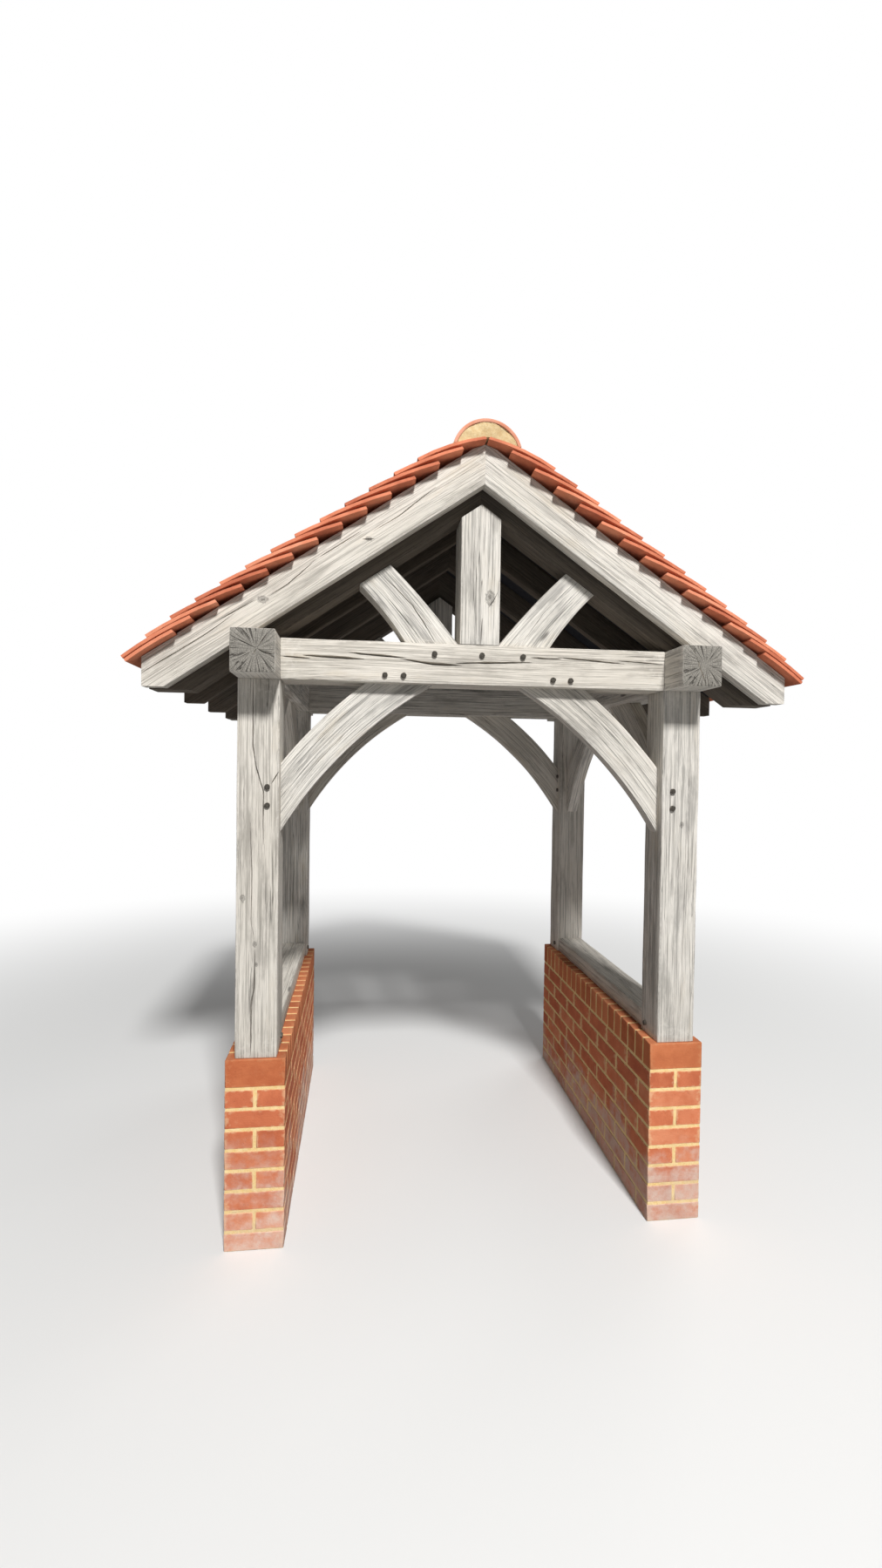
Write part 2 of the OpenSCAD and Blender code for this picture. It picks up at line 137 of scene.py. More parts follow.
class Bench:
    """Modelling steps that the pieces are made with."""

    @staticmethod
    def take(*pieces: Piece) -> None:
        """Selects pieces alone, in object mode, with the first one active.

        Args:
            pieces: Pieces to work on.
        """
        active = bpy.context.view_layer.objects.active
        if active is not None and active.mode != "OBJECT":
            bpy.ops.object.mode_set(mode="OBJECT")
        bpy.ops.object.select_all(action="DESELECT")
        for piece in pieces:
            piece.select_set(True)
        bpy.context.view_layer.objects.active = pieces[0]

    @staticmethod
    def adopt(name: str) -> Piece:
        """Names the primitive just added and puts its place into its mesh.

        Args:
            name: Name of the new piece.

        Returns:
            The piece.
        """
        piece = bpy.context.active_object
        piece.name = piece.data.name = name
        Bench.take(piece)
        bpy.ops.object.transform_apply(location=True, rotation=True, scale=True)
        return piece

    @staticmethod
    def block(name: str, low: Sequence[float], high: Sequence[float]) -> Piece:
        """Adds a block.

        Args:
            name: Name of the new piece.
            low, high: Its lowest and highest corner.

        Returns:
            The block, with its place in its mesh.
        """
        first, last = Vector(low), Vector(high)
        bpy.ops.object.select_all(action="DESELECT")
        bpy.ops.mesh.primitive_cube_add(
            size=1, location=(first + last) / 2, scale=last - first)
        return Bench.adopt(name)

    @staticmethod
    def edit(piece: Piece, kind: str = "EDGE", whole: bool = False) -> bmesh.types.BMesh:
        """Opens a piece in edit mode.

        Args:
            piece: Piece to open.
            kind: What is selected, VERT, EDGE or FACE.
            whole: Whether all of it is selected, and not nothing.

        Returns:
            Its mesh, for selecting by place.
        """
        Bench.take(piece)
        bpy.ops.object.mode_set(mode="EDIT")
        bpy.ops.mesh.select_mode(type=kind)
        bpy.ops.mesh.select_all(action="SELECT" if whole else "DESELECT")
        return bmesh.from_edit_mesh(piece.data)

    @staticmethod
    def close() -> None:
        """Goes back to object mode."""
        bpy.ops.object.mode_set(mode="OBJECT")

    @staticmethod
    def pick(piece: Piece, test: Callable[[Vector, Vector], bool]) -> None:
        """Opens a piece and selects the edges that pass a test.

        Args:
            piece: Piece to open.
            test: Takes an edge's middle and its direction.
        """
        mesh = Bench.edit(piece)
        for edge in mesh.edges:
            first, last = edge.verts[0].co, edge.verts[1].co
            edge.select_set(test((first + last) / 2, (last - first).normalized()))
        bmesh.update_edit_mesh(piece.data)

    @staticmethod
    def divide(piece: Piece, cuts: dict[int, int]) -> None:
        """Subdivides the edges that run along the axes.

        Args:
            piece: Piece to divide.
            cuts: Number of cuts by axis, 0, 1 or 2 for X, Y or Z.
        """
        for axis, count in cuts.items():
            if count > 0:
                Bench.pick(piece, lambda middle, way: abs(way[axis]) > 0.9)
                bpy.ops.mesh.subdivide(number_cuts=count)
                Bench.close()

    @staticmethod
    def bevel(piece: Piece, width: float, test: Callable[[Vector, Vector], bool],
              segments: int = 2) -> None:
        """Bevels the edges that pass a test.

        Args:
            piece: Piece to bevel.
            width: Width of the bevel.
            test: Takes an edge's middle and its direction.
            segments: Segments across the bevel.
        """
        Bench.pick(piece, test)
        bpy.ops.mesh.bevel(offset=width, segments=segments, affect="EDGES")
        Bench.close()

    @staticmethod
    def saw(piece: Piece, point: Vector, normal: Vector) -> None:
        """Saws off what lies beyond a plane and closes the cut.

        Args:
            piece: Piece to saw.
            point: Point on the plane.
            normal: Direction of the waste.
        """
        Bench.edit(piece, whole=True)
        bpy.ops.mesh.bisect(plane_co=point, plane_no=normal, use_fill=True,
                            clear_outer=True, threshold=NEAR)
        Bench.close()

    @staticmethod
    def modify(piece: Piece, kind: str, **settings: object) -> None:
        """Adds a modifier and applies it.

        Args:
            piece: Piece to modify.
            kind: Type of modifier.
            settings: Its settings.
        """
        modifier = piece.modifiers.new(kind.title(), kind)
        for key, value in settings.items():
            setattr(modifier, key, value)
        Bench.take(piece)
        bpy.ops.object.modifier_apply(modifier=modifier.name)

    @staticmethod
    def carve(piece: Piece, cutter: Piece) -> None:
        """Cuts one piece's shape out of another and removes the cutter."""
        Bench.modify(piece, "BOOLEAN", operation="DIFFERENCE", solver="EXACT",
                     object=cutter)
        bpy.data.objects.remove(cutter)

    @staticmethod
    def reshape(piece: Piece, move: Move) -> Piece:
        """Moves every vertex of a piece.

        Args:
            piece: Piece to reshape.
            move: Gives a vertex's new place from its old one.

        Returns:
            The same piece.
        """
        for vertex in piece.data.vertices:
            vertex.co = move(vertex.co)
        return piece

    @staticmethod
    def copy(piece: Piece, name: str) -> Piece:
        """Copies a piece, with a mesh of its own.

        Args:
            piece: Piece to copy.
            name: Name of the copy.

        Returns:
            The copy.
        """
        twin = piece.copy()
        twin.data = piece.data.copy()
        twin.name = twin.data.name = name
        bpy.context.scene.collection.objects.link(twin)
        return twin

    @staticmethod
    def join(pieces: Sequence[Piece], name: str, angle: float | None = None) -> Piece:
        """Joins pieces into one.

        Args:
            pieces: Pieces to join.
            name: Name of the whole.
            angle: Largest angle that is shaded smooth, if the whole is finished now.

        Returns:
            The joined piece.
        """
        Bench.take(*pieces)
        bpy.ops.object.join()
        whole = bpy.context.view_layer.objects.active
        whole.name = whole.data.name = name
        if angle:
            Bench.finish(whole, angle)
        return whole

    @staticmethod
    def finish(piece: Piece, angle: float = 35.0) -> None:
        """Turns the faces outwards and shades smooth up to an angle.

        Args:
            piece: Piece to finish.
            angle: Largest angle that is shaded smooth, in degrees.
        """
        Bench.edit(piece, whole=True)
        bpy.ops.mesh.normals_make_consistent(inside=False)
        Bench.close()
        bpy.ops.object.shade_smooth_by_angle(angle=math.radians(angle))


def write_pattern(piece: Piece, size: Vector, middle: Vector, chance: random.Random,
                  along: int = 0) -> None:
    """Writes what the materials read from a piece that still lies in its own frame.

    grain is the place in the piece in metres, along, across and out, with a shift of its
    own. unit is the place from -1 to 1 between the piece's faces. tone is a chance number
    from 0 to 1. end is 1 on sawn ends, where the fibres are cut across.

    Args:
        piece: Piece, not yet in its place.
        size: Its length, width and depth.
        middle: Its middle.
        chance: Source of the shift and the tone.
        along: Axis of the grain.
    """
    shift = Vector([chance.uniform(0, 40) for _ in range(3)])
    tone = chance.random()
    order = [along, (along + 1) % 3, (along + 2) % 3]
    ways = [point.co - middle for point in piece.data.vertices]
    for name, kind, domain, key, values in (
            ("grain", "FLOAT_VECTOR", "POINT", "vector",
             [way[i] + shift[i] for way in ways for i in order]),
            ("unit", "FLOAT_VECTOR", "POINT", "vector",
             [2 * way[i] / size[i] for way in ways for i in order]),
            ("tone", "FLOAT", "POINT", "value", [tone] * len(ways)),
            ("end", "FLOAT", "FACE", "value",
             [float(abs(side.normal[along]) > 0.7) for side in piece.data.polygons])):
        layers = piece.data.attributes
        layer = layers.get(name) or layers.new(name, kind, domain)
        layer.data.foreach_set(key, values)


class Sheet:
    """Node tree with short calls that add nodes and link them."""

    def __init__(self, tree: bpy.types.NodeTree) -> None:
        """Keeps the tree of a material, a world or a group."""
        self.tree = tree

    def feed(self, socket: Socket, value: object) -> None:
        """Links a socket to another, or sets its value.

        Args:
            socket: Input socket.
            value: Output socket, number, vector or colour.
        """
        if isinstance(value, bpy.types.NodeSocket):
            self.tree.links.new(value, socket)
        else:
            socket.default_value = value

    def node(self, kind: str, inputs: dict[str | int, object] | None = None,
             **settings: object) -> bpy.types.Node:
        """Adds a node.

        Args:
            kind: Type of node, after ShaderNode.
            inputs: Values or links by socket name or number.
            settings: Other settings.

        Returns:
            The node.
        """
        node = self.tree.nodes.new(f"ShaderNode{kind}")
        for key, value in settings.items():
            setattr(node, key, value)
        for key, value in (inputs or {}).items():
            self.feed(node.inputs[key], value)
        return node

    def use(self, build: Callable[[], Effect], **inputs: object) -> Sequence[Socket]:
        """Places a shared effect.

        Args:
            build: Function that builds it, named as its group.
            inputs: Its values and links.

        Returns:
            The sockets of its results.
        """
        group = bpy.data.node_groups.get(build.__name__) or build().tree
        return self.node("Group", inputs, node_tree=group).outputs

    def attribute(self, name: str) -> Socket:
        """Reads a vector attribute of the piece."""
        return self.node("Attribute", attribute_name=name).outputs["Vector"]

    def number(self, name: str) -> Socket:
        """Reads a number attribute of the piece."""
        return self.node("Attribute", attribute_name=name).outputs["Fac"]

    def place(self) -> Socket:
        """Reads the place in the gate."""
        return self.node("TexCoord").outputs["Object"]

    def vector(self, operation: str, first: object, second: object = (0, 0, 0)) -> Socket:
        """Does one sum with vectors."""
        return self.node("VectorMath", {0: first, 1: second}, operation=operation).outputs[0]

    def length(self, vector: Socket) -> Socket:
        """Measures a vector."""
        return self.node("VectorMath", {0: vector}, operation="LENGTH").outputs[1]

    def axis(self, vector: Socket, number: int) -> Socket:
        """Takes one number out of a vector."""
        return self.node("SeparateXYZ", {0: vector}).outputs[number]

    def stretch(self, vector: Socket, *scale: float) -> Socket:
        """Multiplies a vector, axis by axis."""
        return self.vector("MULTIPLY", vector, scale)

    def noise(self, vector: Socket, scale: object, detail: float = 4,
              roughness: float = 0.55, distortion: float = 0) -> Socket:
        """Adds a noise texture with a number of features to the metre."""
        return self.node("TexNoise", {
            "Vector": vector, "Scale": scale, "Detail": detail,
            "Roughness": roughness, "Distortion": distortion}).outputs[0]

    def cells(self, vector: Socket, scale: float) -> Socket:
        """Measures the distance to the nearest of points strewn by chance."""
        return self.node("TexVoronoi", {
            "Vector": vector, "Scale": scale, "Randomness": 1.0}).outputs["Distance"]

    def maths(self, operation: str, first: object, second: object = 0.0) -> Socket:
        """Does one sum with numbers."""
        return self.node("Math", {0: first, 1: second}, operation=operation).outputs[0]

    def times(self, first: object, second: object) -> Socket:
        """Multiplies two numbers."""
        return self.maths("MULTIPLY", first, second)

    def line(self, value: Socket, low: float, high: float) -> Socket:
        """Draws lines where a noise passes one half: 1 within low of it, 0 beyond high."""
        off = self.maths("ABSOLUTE", self.maths("SUBTRACT", value, 0.5))
        return self.span(off, low, high, 1.0, 0.0)

    def span(self, value: Socket, low: float, high: float, start: float = 0.0,
             stop: float = 1.0) -> Socket:
        """Maps low to high smoothly to start to stop, and clamps the result."""
        return self.node("MapRange", {
            "Value": value, "From Min": low, "From Max": high, "To Min": start,
            "To Max": stop}, interpolation_type="SMOOTHSTEP").outputs[0]

    def mix(self, share: object, first: object, second: object,
            mode: str = "MIX") -> Socket:
        """Mixes a share of the second colour into the first."""
        return self.node("Mix", {0: share, 6: first, 7: second},
                         data_type="RGBA", blend_type=mode).outputs[2]

    def ramp(self, value: Socket, stops: Sequence[tuple[float, Colour]]) -> Socket:
        """Runs a value through colours.

        Args:
            value: Value from 0 to 1.
            stops: Places and their colours, from low to high.

        Returns:
            The colour.
        """
        node = self.node("ValToRGB", {0: value})
        points = node.color_ramp.elements
        while len(points) < len(stops):
            points.new(0.5)
        for point, (place, colour) in zip(points, stops):
            point.position, point.color = place, colour
        return node.outputs[0]

    def bump(self, height: Socket, depth: float, strength: float,
             normal: Socket | None = None) -> Socket:
        """Makes a normal from a height and its depth in metres, over a coarser normal."""
        coarser = {} if normal is None else {"Normal": normal}
        return self.node("Bump", {"Height": height, "Distance": depth,
                                  "Strength": strength, **coarser}).outputs[0]


class Effect(Sheet):
    """Shader node group that several finishes share."""

    def __init__(self, name: str, inputs: dict[str, float | None],
                 outputs: Sequence[str]) -> None:
        """Opens a new group.

        Args:
            name: Name of the group.
            inputs: Default of each number that it takes, and None for each vector.
            outputs: Names of the numbers that it gives.
        """
        super().__init__(bpy.data.node_groups.new(name, "ShaderNodeTree"))
        for key, default in inputs.items():
            kind = "NodeSocketVector" if default is None else "NodeSocketFloat"
            socket = self.tree.interface.new_socket(key, in_out="INPUT", socket_type=kind)
            if default is not None:
                socket.default_value = default
        for key in outputs:
            self.tree.interface.new_socket(key, in_out="OUTPUT",
                                           socket_type="NodeSocketFloat")
        self.given = self.tree.nodes.new("NodeGroupInput").outputs
        self.result = self.tree.nodes.new("NodeGroupOutput").inputs

    def give(self, **values: Socket) -> Effect:
        """Links the results.

        Args:
            values: Socket of each result.

        Returns:
            The group.
        """
        for key, value in values.items():
            self.feed(self.result[key], value)
        return self


def timber_grain() -> Effect:
    """Builds the figure of sawn oak: fibres, streaks, clouds, hair checks and knots.

    Returns:
        The group.
    """
    group = Effect("timber_grain", {"Grain": None, "Amount": 0.5},
                   ["Fibre", "Streaks", "Clouds", "Checks", "Knots"])
    grain = group.given["Grain"]
    knot_cells = group.cells(group.stretch(grain, 1.1, 4.6, 4.6), 1.0)
    drift = group.node("TexNoise", {"Vector": group.stretch(grain, 1.4, 4, 4),
                                    "Scale": 1.0, "Detail": 1.0}).outputs[1]
    bent = group.vector("ADD", grain, group.stretch(drift, 0.0, 0.020, 0.020))
    hair = group.noise(group.stretch(bent, 1.2, 70, 70), 1.0, 2, 0.5)
    patchy = group.noise(group.stretch(bent, 2.0, 11, 11), 1.0, 2)
    checks = group.times(group.line(hair, 0.0, 0.014), group.span(patchy, 0.50, 0.60))
    return group.give(
        Fibre=group.noise(group.stretch(bent, 6, 420, 420), 1.0, 3, 0.6),
        Streaks=group.noise(group.stretch(bent, 2.2, 170, 170), 1.0, 4, 0.66),
        Clouds=group.noise(group.stretch(bent, 3.4, 15, 15), 1.0, 5, 0.65),
        Checks=group.times(checks, group.given["Amount"]),
        Knots=group.span(knot_cells, 0.035, 0.060, 1.0, 0.0))


def knot() -> Effect:
    """Builds one knot: a dark ring, a brown heart and shade between them.

    Returns:
        The group.
    """
    group = Effect("knot", {"Place": None, "Centre": None, "Reach": None}, ["Shade"])
    given = group.given
    away = group.vector("DIVIDE", group.vector("SUBTRACT", given["Place"],
                                               given["Centre"]), given["Reach"])
    out = group.maths("ADD", group.length(away), group.span(
        group.noise(given["Place"], 130.0, 3), 0.3, 0.7, -0.2, 0.2))
    off = group.maths("ABSOLUTE", group.maths("SUBTRACT", out, 0.8))
    ring = group.span(off, 0.05, 0.40, 0.50, 0.0)
    heart = group.span(out, 0.10, 0.60, 0.70, 0.26)
    inside = group.times(heart, group.span(out, 0.8, 1.1, 1.0, 0.0))
    return group.give(Shade=group.maths("MAXIMUM", ring, inside))


def worn_edge() -> Effect:
    """Builds a mask of a piece's arrises, ragged by noise.

    Returns:
        The group.
    """
    group = Effect("worn_edge", {"Unit": None, "Grain": None, "Start": 0.86}, ["Mask"])
    size = group.vector("ABSOLUTE", group.given["Unit"])
    x, y, z = (group.axis(size, number) for number in range(3))
    middle = group.maths("MAXIMUM", group.maths("MINIMUM", x, y), group.maths(
        "MINIMUM", group.maths("MAXIMUM", x, y), z))
    ragged = group.noise(group.given["Grain"], 55.0, 3)
    shifted = group.maths("ADD", middle, group.span(ragged, 0.3, 0.7, -0.16, 0.10))
    return group.give(Mask=group.node("MapRange", {
        "Value": shifted, "From Min": group.given["Start"], "From Max": 1.0}).outputs[0])


def weather() -> Effect:
    """Builds the masks of stain in patches, dust on ledges and damp near the ground.

    Returns:
        The group.
    """
    group = Effect("weather", {"Place": None, "Scale": 3.0, "Height": 0.35},
                   ["Stain", "Dust", "Damp"])
    place = group.given["Place"]
    large = group.noise(place, group.given["Scale"], 5.0, 0.6)
    up = group.axis(group.node("NewGeometry").outputs["Normal"], 2)
    level = group.maths("SUBTRACT", group.given["Height"], group.axis(place, 2))
    ragged = group.maths("ADD", level, group.span(large, 0.3, 0.7, -0.16, 0.16))
    return group.give(
        Stain=group.span(large, 0.42, 0.68),
        Dust=group.times(group.span(up, 0.25, 0.95), group.noise(place, 38.0, 4)),
        Damp=group.span(ragged, -0.10, 0.16))


def fired_clay() -> Effect:
    """Builds the grit, specks and creases of hand-made fired clay.

    Returns:
        The group.
    """
    group = Effect("fired_clay", {"Grain": None}, ["Grit", "Specks", "Creases", "Cloud"])
    grain = group.given["Grain"]
    specks = group.span(group.cells(grain, 95.0), 0.10, 0.22, 1.0, 0.0)
    sparse = group.span(group.noise(grain, 60.0, 2), 0.52, 0.62)
    return group.give(
        Grit=group.noise(grain, 420.0, 3.0, 0.7), Specks=group.times(specks, sparse),
        Creases=group.noise(group.stretch(grain, 22, 60, 60), 1.0, 3, 0.6, 1.2),
        Cloud=group.noise(grain, 14.0, 4, 0.6))


@dataclass(frozen=True)
class Finish:
    """Look of a material.

    Attributes:
        name: Name of the material.
    """

    name: str

    def material(self) -> bpy.types.Material:
        """Builds the material, or finds it.

        Returns:
            The material.
        """
        material = bpy.data.materials.get(self.name)
        if material is None:
            material = bpy.data.materials.new(self.name)
            material.use_nodes = True
            self.dress(Sheet(material.node_tree),
                       material.node_tree.nodes["Principled BSDF"].inputs)
        return material

    def dress(self, sheet: Sheet, shader: Sequence[Socket]) -> None:
        """Links the inputs of the material's shader."""
        raise NotImplementedError


@dataclass(frozen=True)
class Oak(Finish):
    """Oak that has weathered to silver, or a darker copy of it whose colour is painted shade
    under the roof.

    Attributes:
        pale: Colour of the sound wood.
        warm: Colour where the wood's own brown still shows.
        grey: Colour of the streaks.
        dark: Colour in checks and knots.
        end: Colour of the end grain.
        checks: How much the surface has checked.
        knots: Place of each knot in the gate and how far it reaches along the axes.
    """

    pale: Colour
    warm: Colour
    grey: Colour
    dark: Colour
    end: Colour
    checks: float = 0.55
    knots: tuple[tuple[tuple[float, ...], tuple[float, ...]], ...] = ()

    def dress(self, sheet: Sheet, shader: Sequence[Socket]) -> None:
        """Lays streaks, clouds, fibres, stain, knots, checks and end grain on each other.

        Args:
            sheet: Sheet of the material.
            shader: Inputs of its shader.
        """
        grain, place = sheet.attribute("grain"), sheet.place()
        wood = sheet.use(timber_grain, Grain=grain, Amount=self.checks)
        edge = sheet.use(worn_edge, Unit=sheet.attribute("unit"), Grain=grain,
                         Start=0.93)["Mask"]
        stain = sheet.use(weather, Place=place, Scale=2.4, Height=0.0)["Stain"]
        colour = self.pale
        for share, layer in (
                (sheet.span(wood["Streaks"], 0.46, 0.66, 0.0, 0.85), self.grey),
                (sheet.span(wood["Clouds"], 0.50, 0.70, 0.0, 0.62), self.grey),
                (sheet.span(wood["Clouds"], 0.24, 0.46, 0.55, 0.0), self.warm),
                (sheet.span(wood["Fibre"], 0.52, 0.70, 0.0, 0.72), self.grey)):
            colour = sheet.mix(share, colour, layer)
        colour = sheet.mix(sheet.times(stain, 0.22), colour, paint(196, 192, 184),
                           "MULTIPLY")
        ends, (end_colour, end_height) = sheet.number("end"), self._end_grain(sheet)
        layers = [(sheet.span(sheet.number("tone"), 0.2, 1.0, 0.0, 0.26), self.warm),
                  # Paler arrises: partly rubbed wood, partly a painted highlight along the
                  # arris.
                  (sheet.times(edge, 0.30), self.pale),
                  (sheet.times(wood["Knots"], 0.7), self.dark)]
        layers += [(sheet.use(knot, Place=place, Centre=centre, Reach=reach)["Shade"],
                    self.dark) for centre, reach in self.knots]
        for share, layer in [*layers, (wood["Checks"], self.dark), (ends, end_colour)]:
            colour = sheet.mix(share, colour, layer)
        sheet.feed(shader["Base Color"], colour)
        sheet.feed(shader["Roughness"], sheet.span(wood["Fibre"], 0.3, 0.7, 0.80, 0.92))
        shader["Specular IOR Level"].default_value = 0.25
        height = sheet.maths("SUBTRACT", sheet.span(wood["Streaks"], 0.3, 0.7),
                             sheet.times(wood["Checks"], 2.0))
        height = sheet.node("Mix", {0: ends, 2: height, 3: end_height},
                            data_type="FLOAT").outputs[0]
        coarse = sheet.bump(height, 0.0016, 0.9)
        sheet.feed(shader["Normal"], sheet.bump(wood["Fibre"], 0.0010, 0.9, coarse))

    def _end_grain(self, sheet: Sheet) -> tuple[Socket, Socket]:
        """Adds the rings and rays of a sawn end, around a pith off its middle.

        Args:
            sheet: Sheet of the material.

        Returns:
            The colour and the height.
        """
        flat = sheet.vector("ADD", sheet.stretch(sheet.attribute("unit"), 0, 1, 1),
                            (0.0, -0.14, -0.06))
        out, way = sheet.length(flat), sheet.vector("NORMALIZE", flat)
        wobble = sheet.times(sheet.noise(flat, 2.6, 3), 0.45)
        rings = sheet.maths("SINE", sheet.times(sheet.maths("ADD", out, wobble), 62.0))
        rays = sheet.noise(sheet.vector("ADD", way, sheet.stretch(
            flat, 0.0, 0.16, 0.16)), 11.0, 5, 0.75)
        split = sheet.times(sheet.line(sheet.noise(sheet.vector(
            "ADD", way, sheet.stretch(flat, 0.0, 0.10, 0.10)), 4.6, 2), 0.006, 0.030),
            sheet.span(out, 0.0, 0.5, 0.2, 1.0))
        light = sheet.span(rings, -1.0, 1.0, 0.74, 1.0)
        for shade in (sheet.span(rays, 0.34, 0.60, 0.64, 1.0),
                      sheet.span(sheet.noise(flat, 22.0, 5, 0.7), 0.3, 0.7, 0.60, 1.0),
                      sheet.span(split, 0.0, 1.0, 1.0, 0.16)):
            light = sheet.times(light, shade)
        return sheet.mix(light, self.dark, self.end), light


@dataclass(frozen=True)
class Clay(Finish):
    """Fired clay of bricks and tiles, with mortar smears and white salts.

    Attributes:
        light: Colour of a pale one.
        body: Middle colour.
        burnt: Colour of a hard-fired one.
        smear: Colour of the mortar smears.
        smears: How much of the surface is smeared.
        salts: How white the lowest part is.
        patina: How much dirt has settled.
        depth: Depth of the surface's creases.
    """

    light: Colour
    body: Colour
    burnt: Colour
    smear: Colour = (0.0, 0.0, 0.0, 1.0)
    smears: float = 0.0
    salts: float = 0.0
    patina: float = 0.3
    depth: float = 0.0016

    def dress(self, sheet: Sheet, shader: Sequence[Socket]) -> None:
        """Lays specks, grit, smears, salts and dirt on the fired clay.

        Args:
            sheet: Sheet of the material.
            shader: Inputs of its shader.
        """
        grain, place = sheet.attribute("grain"), sheet.place()
        clay = sheet.use(fired_clay, Grain=grain)
        masks = sheet.use(weather, Place=place, Scale=4.0, Height=0.24)
        mixed = sheet.maths("ADD", sheet.times(sheet.number("tone"), 0.75),
                            sheet.span(clay["Cloud"], 0.35, 0.65, -0.05, 0.30))
        colour = sheet.ramp(mixed, [(0.0, self.light), (0.45, self.body),
                                    (1.0, self.burnt)])
        layers = [(sheet.times(clay["Specks"], 0.35), paint(96, 60, 48)),
                  (sheet.span(clay["Grit"], 0.4, 0.75, 0.0, 0.30), self.light)]
        if self.smears:
            patchy = sheet.span(sheet.noise(place, 9.0, 4, 0.65), 0.48, 0.70)
            ragged = sheet.span(sheet.noise(grain, 34.0, 5, 0.7), 0.48, 0.76)
            edge = sheet.use(worn_edge, Unit=sheet.attribute("unit"), Grain=grain,
                             Start=0.80)["Mask"]
            smeared = sheet.maths("MAXIMUM", sheet.times(
                sheet.times(ragged, patchy), 0.5), edge)
            layers.append((sheet.times(smeared, self.smears), self.smear))
        if self.salts:
            bloom = sheet.span(sheet.noise(place, 16.0, 6, 0.7), 0.25, 0.75, 0.25, 1.0)
            layers.append((sheet.times(sheet.times(masks["Damp"], bloom), self.salts),
                           paint(232, 214, 200)))
        layers.append((sheet.times(masks["Dust"], self.patina), paint(120, 104, 88)))
        for share, layer in layers:
            colour = sheet.mix(share, colour, layer)
        colour = sheet.mix(sheet.times(masks["Stain"], 0.18), colour, paint(150, 110, 92),
                           "MULTIPLY")
        sheet.feed(shader["Base Color"], colour)
        sheet.feed(shader["Roughness"], sheet.span(clay["Grit"], 0.3, 0.7, 0.8, 0.95))
        shader["Specular IOR Level"].default_value = 0.15
        coarse = sheet.bump(clay["Creases"], self.depth, 0.7)
        height = sheet.maths("SUBTRACT", clay["Grit"], clay["Specks"])
        sheet.feed(shader["Normal"], sheet.bump(height, self.depth / 2, 0.6, coarse))


@dataclass(frozen=True)
class Mortar(Finish):
    """Sandy buff mortar.

    Attributes:
        sand: Main colour.
        pale: Colour where lime has come out.
        dirt: Colour in hollows and damp places.
    """

    sand: Colour
    pale: Colour
    dirt: Colour

    def dress(self, sheet: Sheet, shader: Sequence[Socket]) -> None:
        """Lays lime, grains of sand and dirt on the mortar.

        Args:
            sheet: Sheet of the material.
            shader: Inputs of its shader.
        """
        place = sheet.place()
        masks = sheet.use(weather, Place=place, Scale=7.0, Height=0.15)
        lumps, sand = sheet.noise(place, 60.0, 6, 0.7), sheet.noise(place, 620.0, 3, 0.7)
        colour = self.sand
        for share, layer in ((sheet.span(lumps, 0.35, 0.65), self.pale),
                             (sheet.span(sand, 0.5, 0.8, 0.0, 0.6), self.dirt),
                             (sheet.times(masks["Stain"], 0.28), self.dirt),
                             (sheet.times(masks["Damp"], 0.25), paint(214, 196, 176))):
            colour = sheet.mix(share, colour, layer)
        sheet.feed(shader["Base Color"], colour)
        sheet.feed(shader["Roughness"], sheet.span(sand, 0.3, 0.7, 0.88, 0.98))
        shader["Specular IOR Level"].default_value = 0.2
        coarse = sheet.bump(lumps, 0.004, 0.7)
        sheet.feed(shader["Normal"], sheet.bump(sand, 0.0010, 0.7, coarse))


KNOTS = (((-0.812, -0.735, 1.120), (0.007, 0.02, 0.011)),
         ((-0.806, -0.735, 1.046), (0.005, 0.02, 0.008)),
         ((-0.856, -0.735, 1.288), (0.009, 0.02, 0.015)),
         ((-0.784, -0.795, 2.351), (0.017, 0.02, 0.013)),
         ((-0.419, -0.795, 2.582), (0.012, 0.02, 0.008)),
         ((0.036, -0.735, 2.409), (0.017, 0.02, 0.027)),
         ((-0.762, -0.885, 2.103), (0.009, 0.02, 0.010)),
         ((0.812, -0.735, 1.560), (0.008, 0.02, 0.012)))
SILVER_OAK = Oak("silver_oak", paint(230, 225, 216), paint(213, 201, 181),
                 paint(146, 143, 138), paint(50, 46, 42), paint(176, 171, 161),
                 knots=KNOTS)
# Darker copy of the oak for the rafters under the roof: its colour is painted shade.
SHADED_OAK = Oak("sheltered_oak", paint(112, 103, 92), paint(104, 90, 74),
                    paint(78, 72, 65), paint(34, 30, 26), paint(96, 90, 82), checks=0.4)
SAWN_SOFTWOOD = Oak("sawn_softwood", paint(128, 106, 80), paint(120, 92, 62),
                    paint(96, 78, 60), paint(60, 44, 32), paint(112, 92, 68), checks=0.1)
PEG_OAK = Oak("peg_oak", paint(118, 111, 102), paint(108, 96, 82), paint(84, 79, 72),
              paint(38, 34, 30), paint(112, 107, 98), checks=0.3)
OLD_BRICK = Clay("old_brick", paint(226, 146, 108), paint(212, 122, 84),
                 paint(190, 100, 68), paint(242, 210, 166), smears=0.44, salts=0.84)
COPING_BRICK = Clay("orange_brick", paint(216, 134, 92), paint(204, 121, 79),
                    paint(186, 102, 65), paint(232, 196, 146), smears=0.14)
CLAY_TILE = Clay("orange_tile", paint(238, 160, 126), paint(224, 136, 102),
                 paint(190, 104, 76), patina=0.35, depth=0.0009)
RIDGE_CLAY = Clay("pale_ridge", paint(232, 172, 146), paint(216, 144, 114),
                  paint(182, 106, 82), paint(232, 206, 160), smears=0.22, patina=0.35,
                  depth=0.0009)
BUFF_MORTAR = Mortar("buff_mortar", paint(244, 208, 142), paint(250, 224, 170),
                     paint(206, 166, 112))
RIDGE_MORTAR = Mortar("ridge_mortar_finish", paint(212, 182, 134), paint(226, 204, 160),
                      paint(150, 120, 82))
LINING = Mortar("roof_lining_finish", paint(44, 45, 50), paint(52, 53, 58),
                paint(34, 34, 38))


def clamp(value: float, low: float, high: float) -> float:
    """Keeps a value between two others."""
    return min(max(value, low), high)


